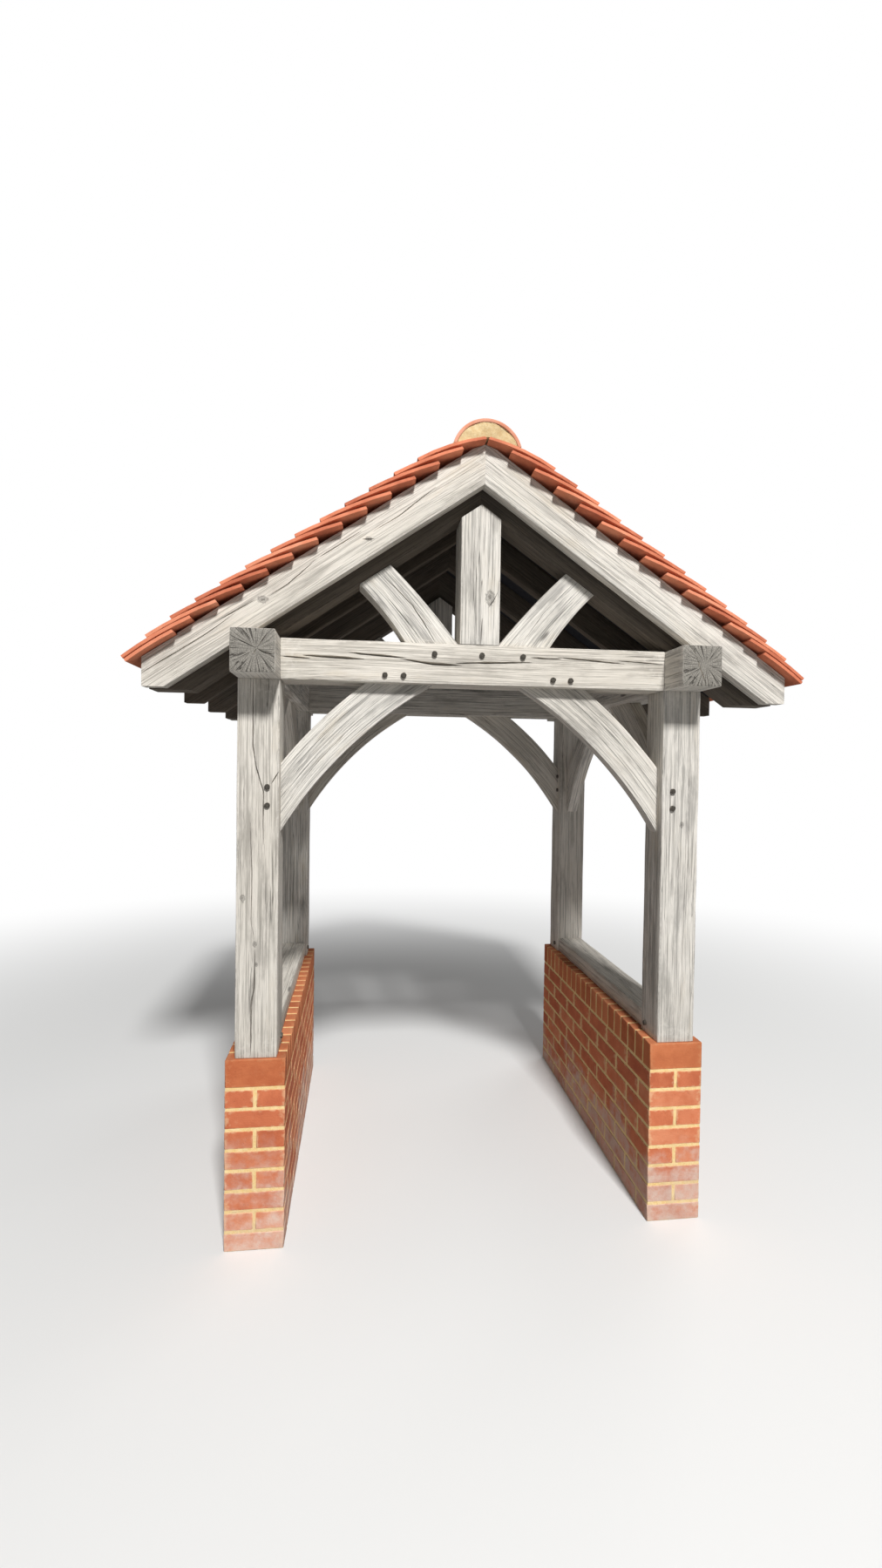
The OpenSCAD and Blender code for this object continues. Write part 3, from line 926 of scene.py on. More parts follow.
def spot(side: Side, end: End, x: float, y: float, z: float) -> Vector:
    """Finds the place at a distance to one side and to one end of the middle."""
    return Vector((side.value * x, end.value * y, z))


def hand_over(piece: Piece, finish: Finish, slot: str, *nodes: str) -> None:
    """Gives a piece its finish, hangs it under the body's empty and hides the CAD nodes that
    it stands for.

    Args:
        piece: Finished piece.
        finish: Its finish.
        slot: Material slot; not used.
        nodes: CAD nodes that it stands for.
    """
    piece.data.materials.clear()
    piece.data.materials.append(finish.material())
    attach(piece, BODY)
    if nodes:
        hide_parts(*nodes)
    log.info("%s: %d faces", piece.name, len(piece.data.polygons))


@dataclass(frozen=True)
class Gate:
    """Sizes that the parts of the gate share.

    Attributes:
        post_x: Distance of the posts' middles from the gate's middle, across the gate.
        post_y: The same through the gate.
        square: Thickness of posts, plates, tie beams and king posts.
        coping: Height of the coping.
        beam: Height of the posts' heads, under the beams.
        plate_end: Distance of the plates' ends from the middle.
        barge: Distance of the barge rafters' inner and outer face from the middle.
        verge: Distance of the verge from the middle.
    """

    post_x: float = 0.805
    post_y: float = 0.660
    square: float = 0.150
    coping: float = 0.7025
    beam: float = 2.0825
    plate_end: float = 0.885
    barge: tuple[float, float] = (0.745, 0.795)
    verge: float = 0.837

    @property
    def top(self) -> float:
        """Height of the beams' tops."""
        return self.beam + self.square

    @property
    def outer_x(self) -> float:
        """Distance of the posts' outer faces from the middle, across the gate."""
        return self.post_x + self.square / 2

    @property
    def inner_x(self) -> float:
        """Distance of the posts' inner faces from the middle, across the gate."""
        return self.post_x - self.square / 2

    @property
    def inner_y(self) -> float:
        """Distance of the posts' inner faces from the middle, through the gate."""
        return self.post_y - self.square / 2


GATE = Gate()


@dataclass(frozen=True)
class Straight:
    """Place of a straight timber.

    Attributes:
        start: Middle of the end where the timber's length begins.
        along: Unit vector along it.
        across: Unit vector across it.
        out: Unit vector out of its front face.
    """

    start: Vector
    along: Vector
    across: Vector
    out: Vector

    def world(self, point: Vector) -> Vector:
        """Gives the gate's coordinates of a point of the timber."""
        return self.start + self.along * point.x + self.across * point.y + self.out * point.z

    def direction(self, vector: Vector) -> Vector:
        """Gives a direction of the gate in the timber's own coordinates."""
        return Vector((vector @ self.along, vector @ self.across, vector @ self.out))

    def local(self, point: Vector) -> Vector:
        """Gives the timber's own coordinates of a point of the gate."""
        return self.direction(point - self.start)


@dataclass(frozen=True)
class Arched:
    """Place of a timber bent to an arc in a corner between a post and a beam.

    Attributes:
        corner: Corner under the beam at the post.
        across: Unit vector from the post away from the opening.
        out: Unit vector out of the front face.
        centre: Centre of the arc from the corner, across and up.
        radius: Radius of the timber's middle line.
        angle: Angle at which the timber's length begins.
    """

    corner: Vector
    across: Vector
    out: Vector
    centre: Vector
    radius: float
    angle: float

    def world(self, point: Vector) -> Vector:
        """Gives the gate's coordinates of a point of the timber.

        Args:
            point: Point of the timber.

        Returns:
            Its place in the gate.
        """
        angle, reach = self.angle + point.x / self.radius, self.radius + point.y
        side = self.centre[0] + reach * math.cos(angle)
        up = self.centre[1] + reach * math.sin(angle)
        return self.corner + self.across * side + Vector((0, 0, up)) + self.out * point.z


def arc_centre(first: Vector, last: Vector, radius: float) -> Vector:
    """Finds the centre of a circle through two points, right of the way between them."""
    way = last - first
    return (first + last) / 2 + Vector((way.y, -way.x)).normalized() * math.sqrt(
        radius ** 2 - way.length ** 2 / 4)


@dataclass(frozen=True)
class Tapered:
    """Place of a strut between two arcs that spread apart.

    Attributes:
        inner: Lower and upper point of the inner arc, and its radius.
        outer: The same of the outer arc.
        length: Length of the timber.
        width: Width of the timber's block.
        side: Side of the gate.
        middle: Y of its middle.
        out: Direction of its front face along Y.
    """

    inner: tuple[Vector, Vector, float]
    outer: tuple[Vector, Vector, float]
    length: float
    width: float
    side: Side
    middle: float
    out: int

    @staticmethod
    def _on_arc(first: Vector, last: Vector, radius: float, part: float) -> Vector:
        """Finds a point part of the way along an arc.

        Args:
            first, last: Ends of the arc.
            radius: Its radius.
            part: Part of the way, from 0 to 1.

        Returns:
            The point.
        """
        centre = arc_centre(first, last, radius)
        begin, stop = (math.atan2(way.y, way.x) for way in (first - centre, last - centre))
        angle = begin + part * (stop - begin)
        return centre + radius * Vector((math.cos(angle), math.sin(angle)))

    def world(self, point: Vector) -> Vector:
        """Gives the gate's coordinates of a point of the timber.

        Args:
            point: Point of the timber.

        Returns:
            Its place in the gate.
        """
        part = point.x / self.length
        inner, outer = self._on_arc(*self.inner, part), self._on_arc(*self.outer, part)
        place = outer.lerp(inner, point.y / self.width + 0.5)
        return Vector((self.side.value * place.x, self.middle + self.out * point.z, place.y))


@dataclass(frozen=True)
class Shake:
    """Drying crack that opens one face of a timber, in metres.

    Attributes:
        face: Face that it opens.
        path: Points that it runs through: along and across the face, or on an end
            across and out.
        width: Width where it is widest.
        depth: Depth.
        wander: How far it strays from its path.
    """

    face: Face
    path: tuple[tuple[float, float], ...]
    width: float = 0.003
    depth: float = 0.016
    wander: float = 0.002

    def _point(self, size: Vector, place: tuple[float, float]) -> Vector:
        """Finds a point on the face of a timber.

        Args:
            size: Length, width and depth of the timber.
            place: Place on the face.

        Returns:
            The point.
        """
        along, across, out = self.face.value
        if along:
            return Vector((size.x if along > 0 else 0.0, *place))
        if out:
            return Vector((*place, out * size.z / 2))
        return Vector((place[0], across * size.y / 2, place[1]))

    def cut(self, timber: Piece, size: Vector, chance: random.Random) -> None:
        """Cuts the crack with a thin wavy wedge.

        Args:
            timber: Timber in its own frame.
            size: Its length, width and depth.
            chance: Source of the waves.
        """
        points = [self._point(size, place) for place in self.path]
        spans = [(b - a).length for a, b in zip(points, points[1:])]
        length, inward = sum(spans), -Vector(self.face.value)
        sideways = (points[-1] - points[0]).cross(inward).normalized()
        wedge = Bench.block("wedge", (-0.5, -0.5, -0.5), (0.5, 0.5, 0.5))
        Bench.divide(wedge, {0: clamp(int(length / 0.016), 6, 36)})
        seed = chance.uniform(0, 99)

        def on_path(part: float) -> Vector:
            """Finds the point part of the way along the path.

            Args:
                part: Part of the way, 0 to 1.

            Returns:
                The point.
            """
            left, step = part * length, 0
            while left > spans[step] and step < len(spans) - 1:
                left -= spans[step]
                step += 1
            return points[step].lerp(points[step + 1], left / spans[step])

        def shape(corner: Vector) -> Vector:
            """Moves a corner of the unit block to its place on the wedge.

            Args:
                corner: Corner of the unit block.

            Returns:
                Its place.
            """
            part = corner.x + 0.5
            swell = math.sin(math.pi * clamp(part, 0.01, 0.99)) ** 0.55
            ripple = 0.80 + 0.4 * noise.noise((part * length * 22, seed, 3))
            stray = self.wander * noise.noise((part * length * 7, seed, 0))
            stray += self.wander * 0.4 * noise.noise((part * length * 31, seed, 1))
            inner = corner.z < 0
            half = 0.00012 if inner else self.width / 2 * swell * ripple + 0.0002
            sink = self.depth * (0.35 + 0.65 * swell) if inner else -0.004
            return on_path(part) + sideways * (stray + half * 2 * corner.y) + inward * sink

        Bench.finish(Bench.reshape(wedge, shape))
        Bench.carve(timber, wedge)


@dataclass
class Timber:
    """Oak member that is squared, softened, cracked and set in its place.

    Attributes:
        name: Name of the piece.
        size: Length, width and depth.
        place: Where it stands.
        shakes: Cracks that open its faces.
        cuts: Planes that saw it off: a point and the direction of the waste.
        notches: Lowest and highest corners of blocks that are cut out of it.
        rebates: The same in the timber's own coordinates.
        arris: Width of its rounded arrises.
        wane: How deep its arrises are worn.
        worn: How far from an arris the wear reaches.
        heave: How uneven its faces are.
        step: Spacing of its mesh along its length.
        fine_step: Spacing of its mesh across it.
        chance_shakes: Number of further cracks at places of chance.
        seed: Seed of its chances.
    """

    name: str
    size: Vector
    place: Straight | Arched | Tapered
    shakes: Sequence[Shake] = ()
    cuts: Sequence[tuple[Vector, Vector]] = ()
    notches: Sequence[tuple[Vector, Vector]] = ()
    rebates: Sequence[tuple[Vector, Vector]] = ()
    arris: float = 0.003
    wane: float = 0.0015
    worn: float = 0.02
    heave: float = 0.0012
    step: float = 0.03
    fine_step: float = 0.036
    chance_shakes: int = 3
    seed: int = 0

    def deliver(self, slot: str) -> None:
        """Makes the timber and hands it over for the CAD node of its name."""
        hand_over(self.build(), SILVER_OAK, slot, self.name)

    def build(self) -> Piece:
        """Makes the timber.

        Returns:
            The piece in its place.
        """
        chance = random.Random(f"{self.name}{self.seed}")
        length, width, depth = self.size
        piece = Bench.block(self.name, (0, -width / 2, -depth / 2),
                            (length, width / 2, depth / 2))
        Bench.divide(piece, {0: int(length / self.step),
                             1: max(2, int(width / self.fine_step)),
                             2: max(1, int(depth / self.fine_step))})
        Bench.bevel(piece, self.arris, self._is_arris)
        self._heave(piece, chance)
        for shake in [*self.shakes, *self._shakes_of_chance(chance)]:
            shake.cut(piece, self.size, chance)
        straight = isinstance(self.place, Straight)
        if straight:
            self._cut_square(piece)
        write_pattern(piece, self.size, Vector((length / 2, 0, 0)), chance)
        Bench.reshape(piece, self.place.world)
        if not straight:
            for point, waste in self.cuts:
                Bench.saw(piece, point, waste)
        Bench.finish(piece, 32)
        return piece

    def _is_arris(self, middle: Vector, way: Vector) -> bool:
        """Tells whether an edge lies on an arris or round an end.

        Args:
            middle: Middle of the edge.
            way: Its direction.

        Returns:
            Whether it does.
        """
        at_side = abs(abs(middle.y) - self.size.y / 2) < NEAR
        at_face = abs(abs(middle.z) - self.size.z / 2) < NEAR
        at_end = middle.x < NEAR or middle.x > self.size.x - NEAR
        return (at_side and at_face) or (at_end and (at_side or at_face))

    def _heave(self, piece: Piece, chance: random.Random) -> None:
        """Makes the faces uneven and wears the arrises, never outwards at the ends.

        Args:
            piece: Timber in its own frame.
            chance: Source of the unevenness.
        """
        seed = chance.uniform(0, 99)
        width, depth = self.size.y / 2, self.size.z / 2

        def settle(point: Vector) -> Vector:
            """Moves one vertex.

            Args:
                point: Its place.

            Returns:
                Its new place.
            """
            along = point.x * 3.1
            sway = noise.noise((along, point.z * 9, seed)) - 0.25
            bulge = noise.noise((along, point.y * 9, seed + 7)) - 0.25
            moved = Vector((point.x, point.y + math.copysign(self.heave * sway, point.y),
                            point.z + math.copysign(self.heave * bulge, point.z)))
            near = 1 - (width - abs(point.y) + depth - abs(point.z)) / self.worn
            if near > 0:
                y, z = math.copysign(1, point.y), math.copysign(1, point.z)
                bite = self.wane * near * (0.5 + noise.noise((
                    point.x * 5.3, y * 3.1 + seed, z * 5.7)))
                moved.y -= y * max(bite, 0.0)
                moved.z -= z * max(bite, 0.0)
            return moved

        Bench.reshape(piece, settle)

    def _shakes_of_chance(self, chance: random.Random) -> list[Shake]:
        """Picks cracks at places of chance.

        Args:
            chance: Source of the places.

        Returns:
            The cracks.
        """
        found = []
        for _ in range(self.chance_shakes):
            face = chance.choice([Face.FRONT, Face.BACK, Face.LOW, Face.HIGH])
            across = self.size.y if face in (Face.FRONT, Face.BACK) else self.size.z
            reach = min(self.size.x * 0.6, chance.uniform(0.2, 0.75))
            begin = chance.uniform(0.03, self.size.x - reach - 0.03)
            level = chance.uniform(-0.36, 0.36) * across
            fall = chance.uniform(-0.06, 0.06) * across
            found.append(Shake(face, ((begin, level), (begin + reach, level + fall)),
                               chance.uniform(0.0008, 0.0020), chance.uniform(0.008, 0.016),
                               chance.uniform(0.002, 0.005)))
        return found

    def _cut_square(self, piece: Piece) -> None:
        """Saws and notches a straight timber in its own frame.

        Args:
            piece: The timber.
        """
        for point, waste in self.cuts:
            Bench.saw(piece, self.place.local(point), self.place.direction(waste))
        for low, high in self.notches:
            cutter = Bench.reshape(Bench.block("notch", low, high), self.place.local)
            Bench.finish(cutter)
            Bench.carve(piece, cutter)
        for low, high in self.rebates:
            Bench.carve(piece, Bench.block("rebate", low, high))


@dataclass(frozen=True)
class Roof:
    """Slope of the roof in section.

    Attributes:
        pitch: Slope in radians.
        apex_low: Height of the rafters' lower edges at the apex.
        depth: Depth of a common rafter.
        truss_depth: Depth of a rafter over a truss.
        foot_x: Distance from the middle to the rafters' feet.
        overhang: How far the tiles run past the feet, along the slope.
        foot_cut: Height of the level cut above a foot's lowest point.
    """

    pitch: float = math.radians(34.5)
    apex_low: float = 2.8025
    depth: float = 0.110
    truss_depth: float = 0.150
    foot_x: float = 1.190
    overhang: float = 0.038
    foot_cut: float = 0.052

    @property
    def apex_high(self) -> float:
        """Height of the rafters' upper edges at the apex."""
        return self.apex_low + self.depth / math.cos(self.pitch)

    @property
    def length(self) -> float:
        """Length of the slope from the first tails to the apex."""
        return self.foot_x / math.cos(self.pitch) + self.overhang

    def low(self, distance: float, depth: float) -> float:
        """Gives the height of a rafter's underside at a distance from the middle."""
        return (self.apex_high - depth / math.cos(self.pitch)
                - distance * math.tan(self.pitch))

    def point(self, up: float, above: float) -> tuple[float, float]:
        """Finds X and Z, right of the middle, of a place up the slope and above it."""
        run = self.length - up
        return (run * math.cos(self.pitch) + above * math.sin(self.pitch),
                self.apex_high - run * math.sin(self.pitch) + above * math.cos(self.pitch))


ROOF = Roof()


@dataclass
class Courses:
    """Heights and places of the tile courses, as in the CAD model's section.

    Heights are above the line of the rafters' tops.

    Attributes:
        length: Length of a tile.
        eaves_length: Length of an eaves tile.
        thick: Thickness of a tile.
        bow: Rise of the middle of a tile.
        top_bow: The same in the top course.
        top_length: Length of a tile in the top course.
        last: Number of the top course.
        seat: Distance from a tile's tail to the place where it rests on its batten.
        batten: Height of the battens' tops.
        top_seat: Height at which the heads of the top course rest.
        eaves_tail: Height of the eaves tiles' tails.
        eaves_head: Height of their heads.
        eaves_gap: Gap between the eaves tiles and the first course.
        head_gap: Gap between the apex and the heads of the top course.
        barge_drop: How far below these heads the barge rafters turn down to them.
        lifts: Height of each course's tails, worked out from the rest.
    """

    length: float = 0.265
    eaves_length: float = 0.190
    thick: float = 0.012
    bow: float = 0.007
    top_bow: float = 0.013
    top_length: float = 0.254
    last: int = 12
    seat: float = 0.253
    batten: float = 0.025
    top_seat: float = 0.009
    eaves_tail: float = 0.016
    eaves_head: float = 0.015
    eaves_gap: float = 0.003
    head_gap: float = 0.003
    barge_drop: float = 0.050
    lifts: list[float] = field(default_factory=list)

    def __post_init__(self) -> None:
        """Works out the gauge and the height of each tail."""
        self.gauge = (ROOF.length + self.top_seat * math.tan(ROOF.pitch) - self.head_gap
                      - self.top_length) / self.last
        self.lifts = [self.eaves_tail + self.thick + self.eaves_gap]
        for course in range(1, self.last + 1):
            self.lifts.append(self.under(course - 1, self.gauge) + self.thick)

    @property
    def head_rise(self) -> float:
        """Height of the lowest tile's head above the rafters."""
        return min(self.under(course, self.length) for course in range(self.last))

    def camber(self, up: float, length: float, bow: float) -> float:
        """Gives the rise of a bowed tile a distance up from its tail."""
        return 4 * bow * up * (length - up) / self.length ** 2

    def under(self, course: int, up: float) -> float:
        """Gives the height of a course's underside above the rafters.

        Args:
            course: Number of the course, -1 for the eaves tiles.
            up: Distance up from the tail.

        Returns:
            The height.
        """
        if course < 0:
            fall = (self.eaves_tail - self.eaves_head) / self.eaves_length
            return self.eaves_tail - up * fall + self.camber(up, self.eaves_length, self.bow)
        seat, bow, rest = ((self.top_length, self.top_bow, self.top_seat)
                           if course == self.last else (self.seat, self.bow, self.batten))
        lift = self.lifts[course]
        fall = (lift + self.camber(seat, self.length, bow) - rest) / seat
        return lift - up * fall + self.camber(up, self.length, bow)

    def tail(self, course: int) -> float:
        """Gives the distance of a course's tail from the eaves."""
        return max(course, 0) * self.gauge

    def tile_length(self, course: int) -> float:
        """Gives the length of a course's tiles."""
        return {-1: self.eaves_length, self.last: self.top_length}.get(course, self.length)

    def top_surface(self, distance: float) -> float:
        """Gives the height of the top course's upper side in the gate.

        Args:
            distance: Distance from the middle.

        Returns:
            The height.
        """
        low, high = 0.0, self.top_length
        for _ in range(40):
            middle = (low + high) / 2
            x, z = ROOF.point(self.tail(self.last) + middle,
                              self.under(self.last, middle) + self.thick)
            low, high = (middle, high) if x > distance else (low, middle)
        return z


COURSES = Courses()


@dataclass
class DwarfWall:
    """Low wall of old bricks in two leaves, with a brick-on-edge coping.

    Attributes:
        side: Side of the gate.
        length: Length through the gate.
        brick: Length, width and height of a stretcher.
        joint: Upright joint between stretchers.
        leaf_joint: Joint between the leaves, and between coping bricks.
        pitch: Height of a course with its bed joint.
        rows: Courses below the coping.
        pairs: Pairs of stretchers in a course.
        coping_bricks: Bricks in the coping.
        coping_height: Height of the coping.
        recess: How far the mortar stands back from the bricks' faces.
    """

    side: Side
    length: float = 1.490
    brick: tuple[float, float, float] = (0.21925, 0.1025, 0.065)
    joint: float = 0.012
    leaf_joint: float = 0.010
    pitch: float = 0.075
    rows: int = 8
    pairs: int = 6
    coping_bricks: int = 20
    coping_height: float = 0.1025
    recess: float = 0.0022

    def build(self) -> None:
        """Makes the bricks, the coping and the mortar of the wall."""
        word, thick = self.side.word, self.thickness
        chance = random.Random(f"wall{word}")
        short, high = self.brick[1:]
        height = self.rows * self.pitch
        stretcher, header = self._pattern(self.brick), self._pattern((short, thick, high))
        bricks = []
        for row in range(self.rows):
            for first, last, leaf in self._row(row):
                size = Vector((last - first, short if leaf else thick, high))
                middle = (leaf * (short + self.leaf_joint) / 2, (first + last) / 2,
                          row * self.pitch + size.z / 2)
                bricks.append(self._lay(stretcher if leaf else header, size, middle,
                                        (0.0, height), chance, leaf, askew=0.25))
        hand_over(Bench.join(bricks, f"{word}_wall_bricks", 40), OLD_BRICK, "brickwork",
                  f"{word}_wall")
        gaps = (self.coping_bricks - 1) * self.leaf_joint
        size = Vector(((self.length - gaps) / self.coping_bricks, thick, self.coping_height))
        on_edge = self._pattern(size)
        coping = []
        for number in range(self.coping_bricks):
            middle = (0.0, -self.length / 2 + size.x / 2 + number * (size.x + self.leaf_joint),
                      height + size.z / 2)
            coping.append(self._lay(on_edge, size, middle,
                                    (height, height + self.coping_height), chance))
        hand_over(Bench.join(coping, f"{word}_coping_bricks", 40), COPING_BRICK,
                  "coping_brick", f"{word}_coping")
        for pattern in (stretcher, header, on_edge):
            bpy.data.objects.remove(pattern)
        self._mortar("wall", 0.0, height, chance)
        self._mortar("coping", height - self.leaf_joint + 0.0005,
                     height + self.coping_height, chance)

    @property
    def thickness(self) -> float:
        """Thickness of the wall."""
        return 2 * self.brick[1] + self.leaf_joint

    def _pattern(self, size: Sequence[float]) -> Piece:
        """Models one brick that the others are copied from.

        Args:
            size: Its sizes along, across and up.

        Returns:
            The brick, around the origin.
        """
        half = Vector(size) / 2
        piece = Bench.block("brick_pattern", -half, half)
        Bench.divide(piece, {max(range(3), key=lambda axis: size[axis]): 2})
        Bench.bevel(piece, 0.0028, lambda middle, way: sum(
            abs(abs(middle[i]) - half[i]) < NEAR for i in range(3)) >= 2, segments=1)
        return piece

    def _row(self, row: int) -> Iterable[tuple[float, float, int]]:
        """Lists the bricks of a course from the front.

        Args:
            row: Number of the course, 0 at the ground.

        Yields:
            Start and stop along the wall, and the leaf: -1, 1 or 0 for both.
        """
        long, short = self.brick[0], self.brick[1]
        place = -self.length / 2
        header_first = row % 2 == 0
        if header_first:
            yield place, place + short, 0
            place += short + self.joint
        for _ in range(self.pairs):
            for leaf in (-1, 1):
                yield place, place + long, leaf
            place += long + self.joint
        if not header_first:
            yield place, place + short, 0

    def _lay(self, pattern: Piece, size: Vector, middle: tuple[float, float, float],
             span: tuple[float, float], chance: random.Random, leaf: int = 0,
             askew: float = 0.0) -> Piece:
        """Copies a brick, wears its corners and lays it inside the wall's own box.

        Args:
            pattern: Brick to copy.
            size: Its sizes along, across and up.
            middle: Its middle, from the middle of the wall.
            span: Lowest and highest point that it may reach.
            chance: Source of the unevenness.
            leaf: Leaf of the wall: -1, 1 or 0 for both.
            askew: Largest angle that it is turned by, in degrees.

        Returns:
            The laid brick.
        """
        piece = Bench.copy(pattern, "brick")
        seed = chance.uniform(0, 99)

        def wear(point: Vector) -> Vector:
            """Moves one vertex inwards a little."""
            bite = 0.0011 * (0.5 + noise.noise((point.x * 30, point.y * 30,
                                                 point.z * 30 + seed)))
            return point - point.normalized() * max(bite, 0.0)

        Bench.reshape(piece, wear)
        longest = 1 if size.y > size.x and size.y > size.z else 0
        write_pattern(piece, size, Vector((0, 0, 0)), chance, longest)
        skew = math.radians(chance.uniform(-askew, askew)) if askew else 0.0
        turn = Matrix.Rotation(skew, 3, "Z")
        centre, half = self.side.value * GATE.post_x, self.thickness / 2
        place = Vector((centre + middle[0], *middle[1:]))

        def settle(point: Vector) -> Vector:
            """Turns the brick's length along the wall, a little askew."""
            laid = turn @ Vector((-point.y if leaf else point.y, point.x, point.z)) + place
            return Vector((clamp(laid.x, centre - half, centre + half),
                           clamp(laid.y, -self.length / 2, self.length / 2),
                           clamp(laid.z, *span)))

        return Bench.reshape(piece, settle)

    def _mortar(self, part: str, low: float, high: float, chance: random.Random) -> None:
        """Makes the mortar that fills the joints, a little behind the bricks' faces.

        Args:
            part: Part of the wall, wall or coping.
            low, high: Lowest and highest point.
            chance: Source of the unevenness.
        """
        name = f"{self.side.word}_{part}"
        centre, half = self.side.value * GATE.post_x, self.thickness / 2 - self.recess
        reach = self.length / 2 - self.recess
        top = high - (self.recess if part == "coping" else 0.0)
        piece = Bench.block(f"{name}_mortar", (centre - half, -reach, low),
                            (centre + half, reach, top))
        Bench.divide(piece, {1: 110, 2: int((high - low) / 0.0136), 0: 12})
        seed = chance.uniform(0, 99)
        outer, length = self.thickness / 2, self.length / 2

        def trowel(point: Vector) -> Vector:
            """Makes the face of the joints uneven.

            Args:
                point: Place of a vertex.

            Returns:
                Its new place.
            """
            rise = 0.0009 * noise.noise((point.y * 26, point.z * 26, point.x * 26 + seed))
            away = point.x - centre
            moved = point.copy()
            if abs(away) > half - NEAR:
                moved.x = centre + math.copysign(min(abs(away) + rise, outer), away)
            if abs(point.y) > reach - NEAR:
                moved.y = math.copysign(min(abs(point.y) + rise, length), point.y)
            if part == "coping" and point.z > top - NEAR:
                moved.z = min(point.z + rise, high)
            return moved

        Bench.finish(Bench.reshape(piece, trowel), 50)
        hand_over(piece, BUFF_MORTAR, "mortar", name)


@dataclass
class PostFrame:
    """Posts, wall plates, tie beams and sill rails.

    Attributes:
        rail: Length, width and height of a sill rail.
    """

    rail: tuple[float, float, float] = (1.170, 0.130, 0.075)

    def build(self) -> None:
        """Makes the timbers."""
        for end in End:
            for side in Side:
                self._post(side, end)
            self._tie(end)
        for side in Side:
            self._plate(side)
            self._rail(side)

    @staticmethod
    def _post(side: Side, end: End) -> None:
        """Makes one post, with the long cracks of the front ones.

        Args:
            side: Side of the gate.
            end: Gable.
        """
        size = Vector((GATE.beam - GATE.coping, GATE.square, GATE.square))
        place = Straight(spot(side, end, GATE.post_x, GATE.post_y, GATE.coping), UP, ACROSS,
                         end.out)
        shakes: list[Shake] = []
        if (side, end) == (Side.LEFT, End.FRONT):
            shakes = [
                Shake(Face.FRONT, ((1.375, -0.020), (1.14, -0.020), (1.06, -0.008),
                                   (0.97, 0.019), (0.78, 0.021)), 0.0062, 0.026),
                Shake(Face.FRONT, ((0.86, -0.026), (0.62, -0.018), (0.50, -0.022),
                                   (0.43, -0.008)), 0.0044, 0.02),
                Shake(Face.FRONT, ((0.40, -0.007), (0.26, -0.007), (0.20, -0.018),
                                   (0.003, -0.019)), 0.0080, 0.028),
                Shake(Face.FRONT, ((1.002, 0.047), (1.046, 0.072)), 0.0060, 0.014),
                Shake(Face.HIGH, ((0.15, -0.01), (1.0, 0.015)), 0.0022, 0.015, 0.004)]
        elif (side, end) == (Side.RIGHT, End.FRONT):
            shakes = [Shake(Face.FRONT, ((0.10, 0.020), (0.95, 0.028)), 0.0016, 0.014),
                      Shake(Face.LOW, ((0.30, -0.010), (1.25, 0.010)), 0.0026, 0.018, 0.004)]
        Timber(f"{end.word}_{side.word}_post", size, place, shakes,
               seed=1).deliver("oak_upright")

    @staticmethod
    def _tie(end: End) -> None:
        """Makes one tie beam, with a long double crack.

        Args:
            end: Gable.
        """
        size = Vector((2 * GATE.inner_x, GATE.square, GATE.square))
        place = Straight(Vector((-GATE.inner_x, end.value * GATE.post_y,
                                 GATE.beam + GATE.square / 2)), ACROSS, UP, end.out)
        runs = {((0.002, 0.0085), (0.108, 0.003)): 0.008,
                ((0.080, 0.014), (0.301, 0.008)): 0.013,
                ((0.245, 0.028), (0.35, 0.024), (0.455, 0.0157)): 0.010,
                ((0.432, 0.013), (0.55, -0.001), (0.663, -0.0045)): 0.012,
                ((0.640, 0.0034), (0.76, 0.009), (0.931, 0.0157)): 0.010,
                ((0.925, 0.035), (1.045, 0.0325)): 0.008,
                ((1.033, 0.039), (1.295, 0.0213)): 0.009,
                ((1.272, 0.034), (1.455, 0.0266)): 0.006}
        shakes = [Shake(Face.FRONT, run, width, 0.034) for run, width in runs.items()]
        Timber(f"{end.word}_tie_beam", size, place, shakes, seed=2).deliver("oak_tie")

    @staticmethod
    def _through(side: Side, length: float, level: float) -> Straight:
        """Places a timber that runs through the gate, with its middle at a level."""
        return Straight(Vector((side.value * GATE.post_x, -length / 2, level)), THROUGH,
                        ACROSS, UP)

    def _plate(self, side: Side) -> None:
        """Makes one wall plate with checked ends.

        Args:
            side: Side of the gate.
        """
        length = 2 * GATE.plate_end
        if side is Side.LEFT:
            rays = [((0.015, 0.006), (0.041, -0.008), (0.072, -0.013)),
                    ((0.015, 0.006), (0.049, 0.061)), ((-0.007, 0.034), (-0.034, 0.071)),
                    ((0.013, 0.007), (-0.069, 0.045)), ((0.013, 0.004), (0.004, -0.014))]
            shakes = [Shake(Face.HIGH, ((0.002, -0.013), (0.15, -0.010)), 0.003, 0.02, 0.001)]
        else:
            rays = [((-0.026, 0.034), (0.006, -0.047), (0.014, -0.072)),
                    ((-0.026, 0.036), (-0.048, 0.070)), ((-0.073, -0.024), (-0.052, -0.026))]
            shakes = [Shake(Face.LOW, ((0.002, -0.024), (0.15, -0.024)), 0.004, 0.02, 0.001)]
        for number, ray in enumerate(rays):
            width = 0.0034 if number else 0.0058
            turned = tuple((across, -out) for across, out in ray)
            shakes += [Shake(Face.FOOT, ray, width, 0.03, 0.001),
                       Shake(Face.HEAD, turned, width, 0.03, 0.001)]
        Timber(f"{side.word}_wall_plate", Vector((length, GATE.square, GATE.square)),
               self._through(side, length, GATE.beam + GATE.square / 2), shakes,
               arris=0.004, seed=3).deliver("oak_plate")

    def _rail(self, side: Side) -> None:
        """Makes one sill rail."""
        place = self._through(side, self.rail[0], GATE.coping + self.rail[2] / 2)
        Timber(f"{side.word}_sill_rail", Vector(self.rail), place, chance_shakes=4,
               seed=4).deliver("oak_tie")


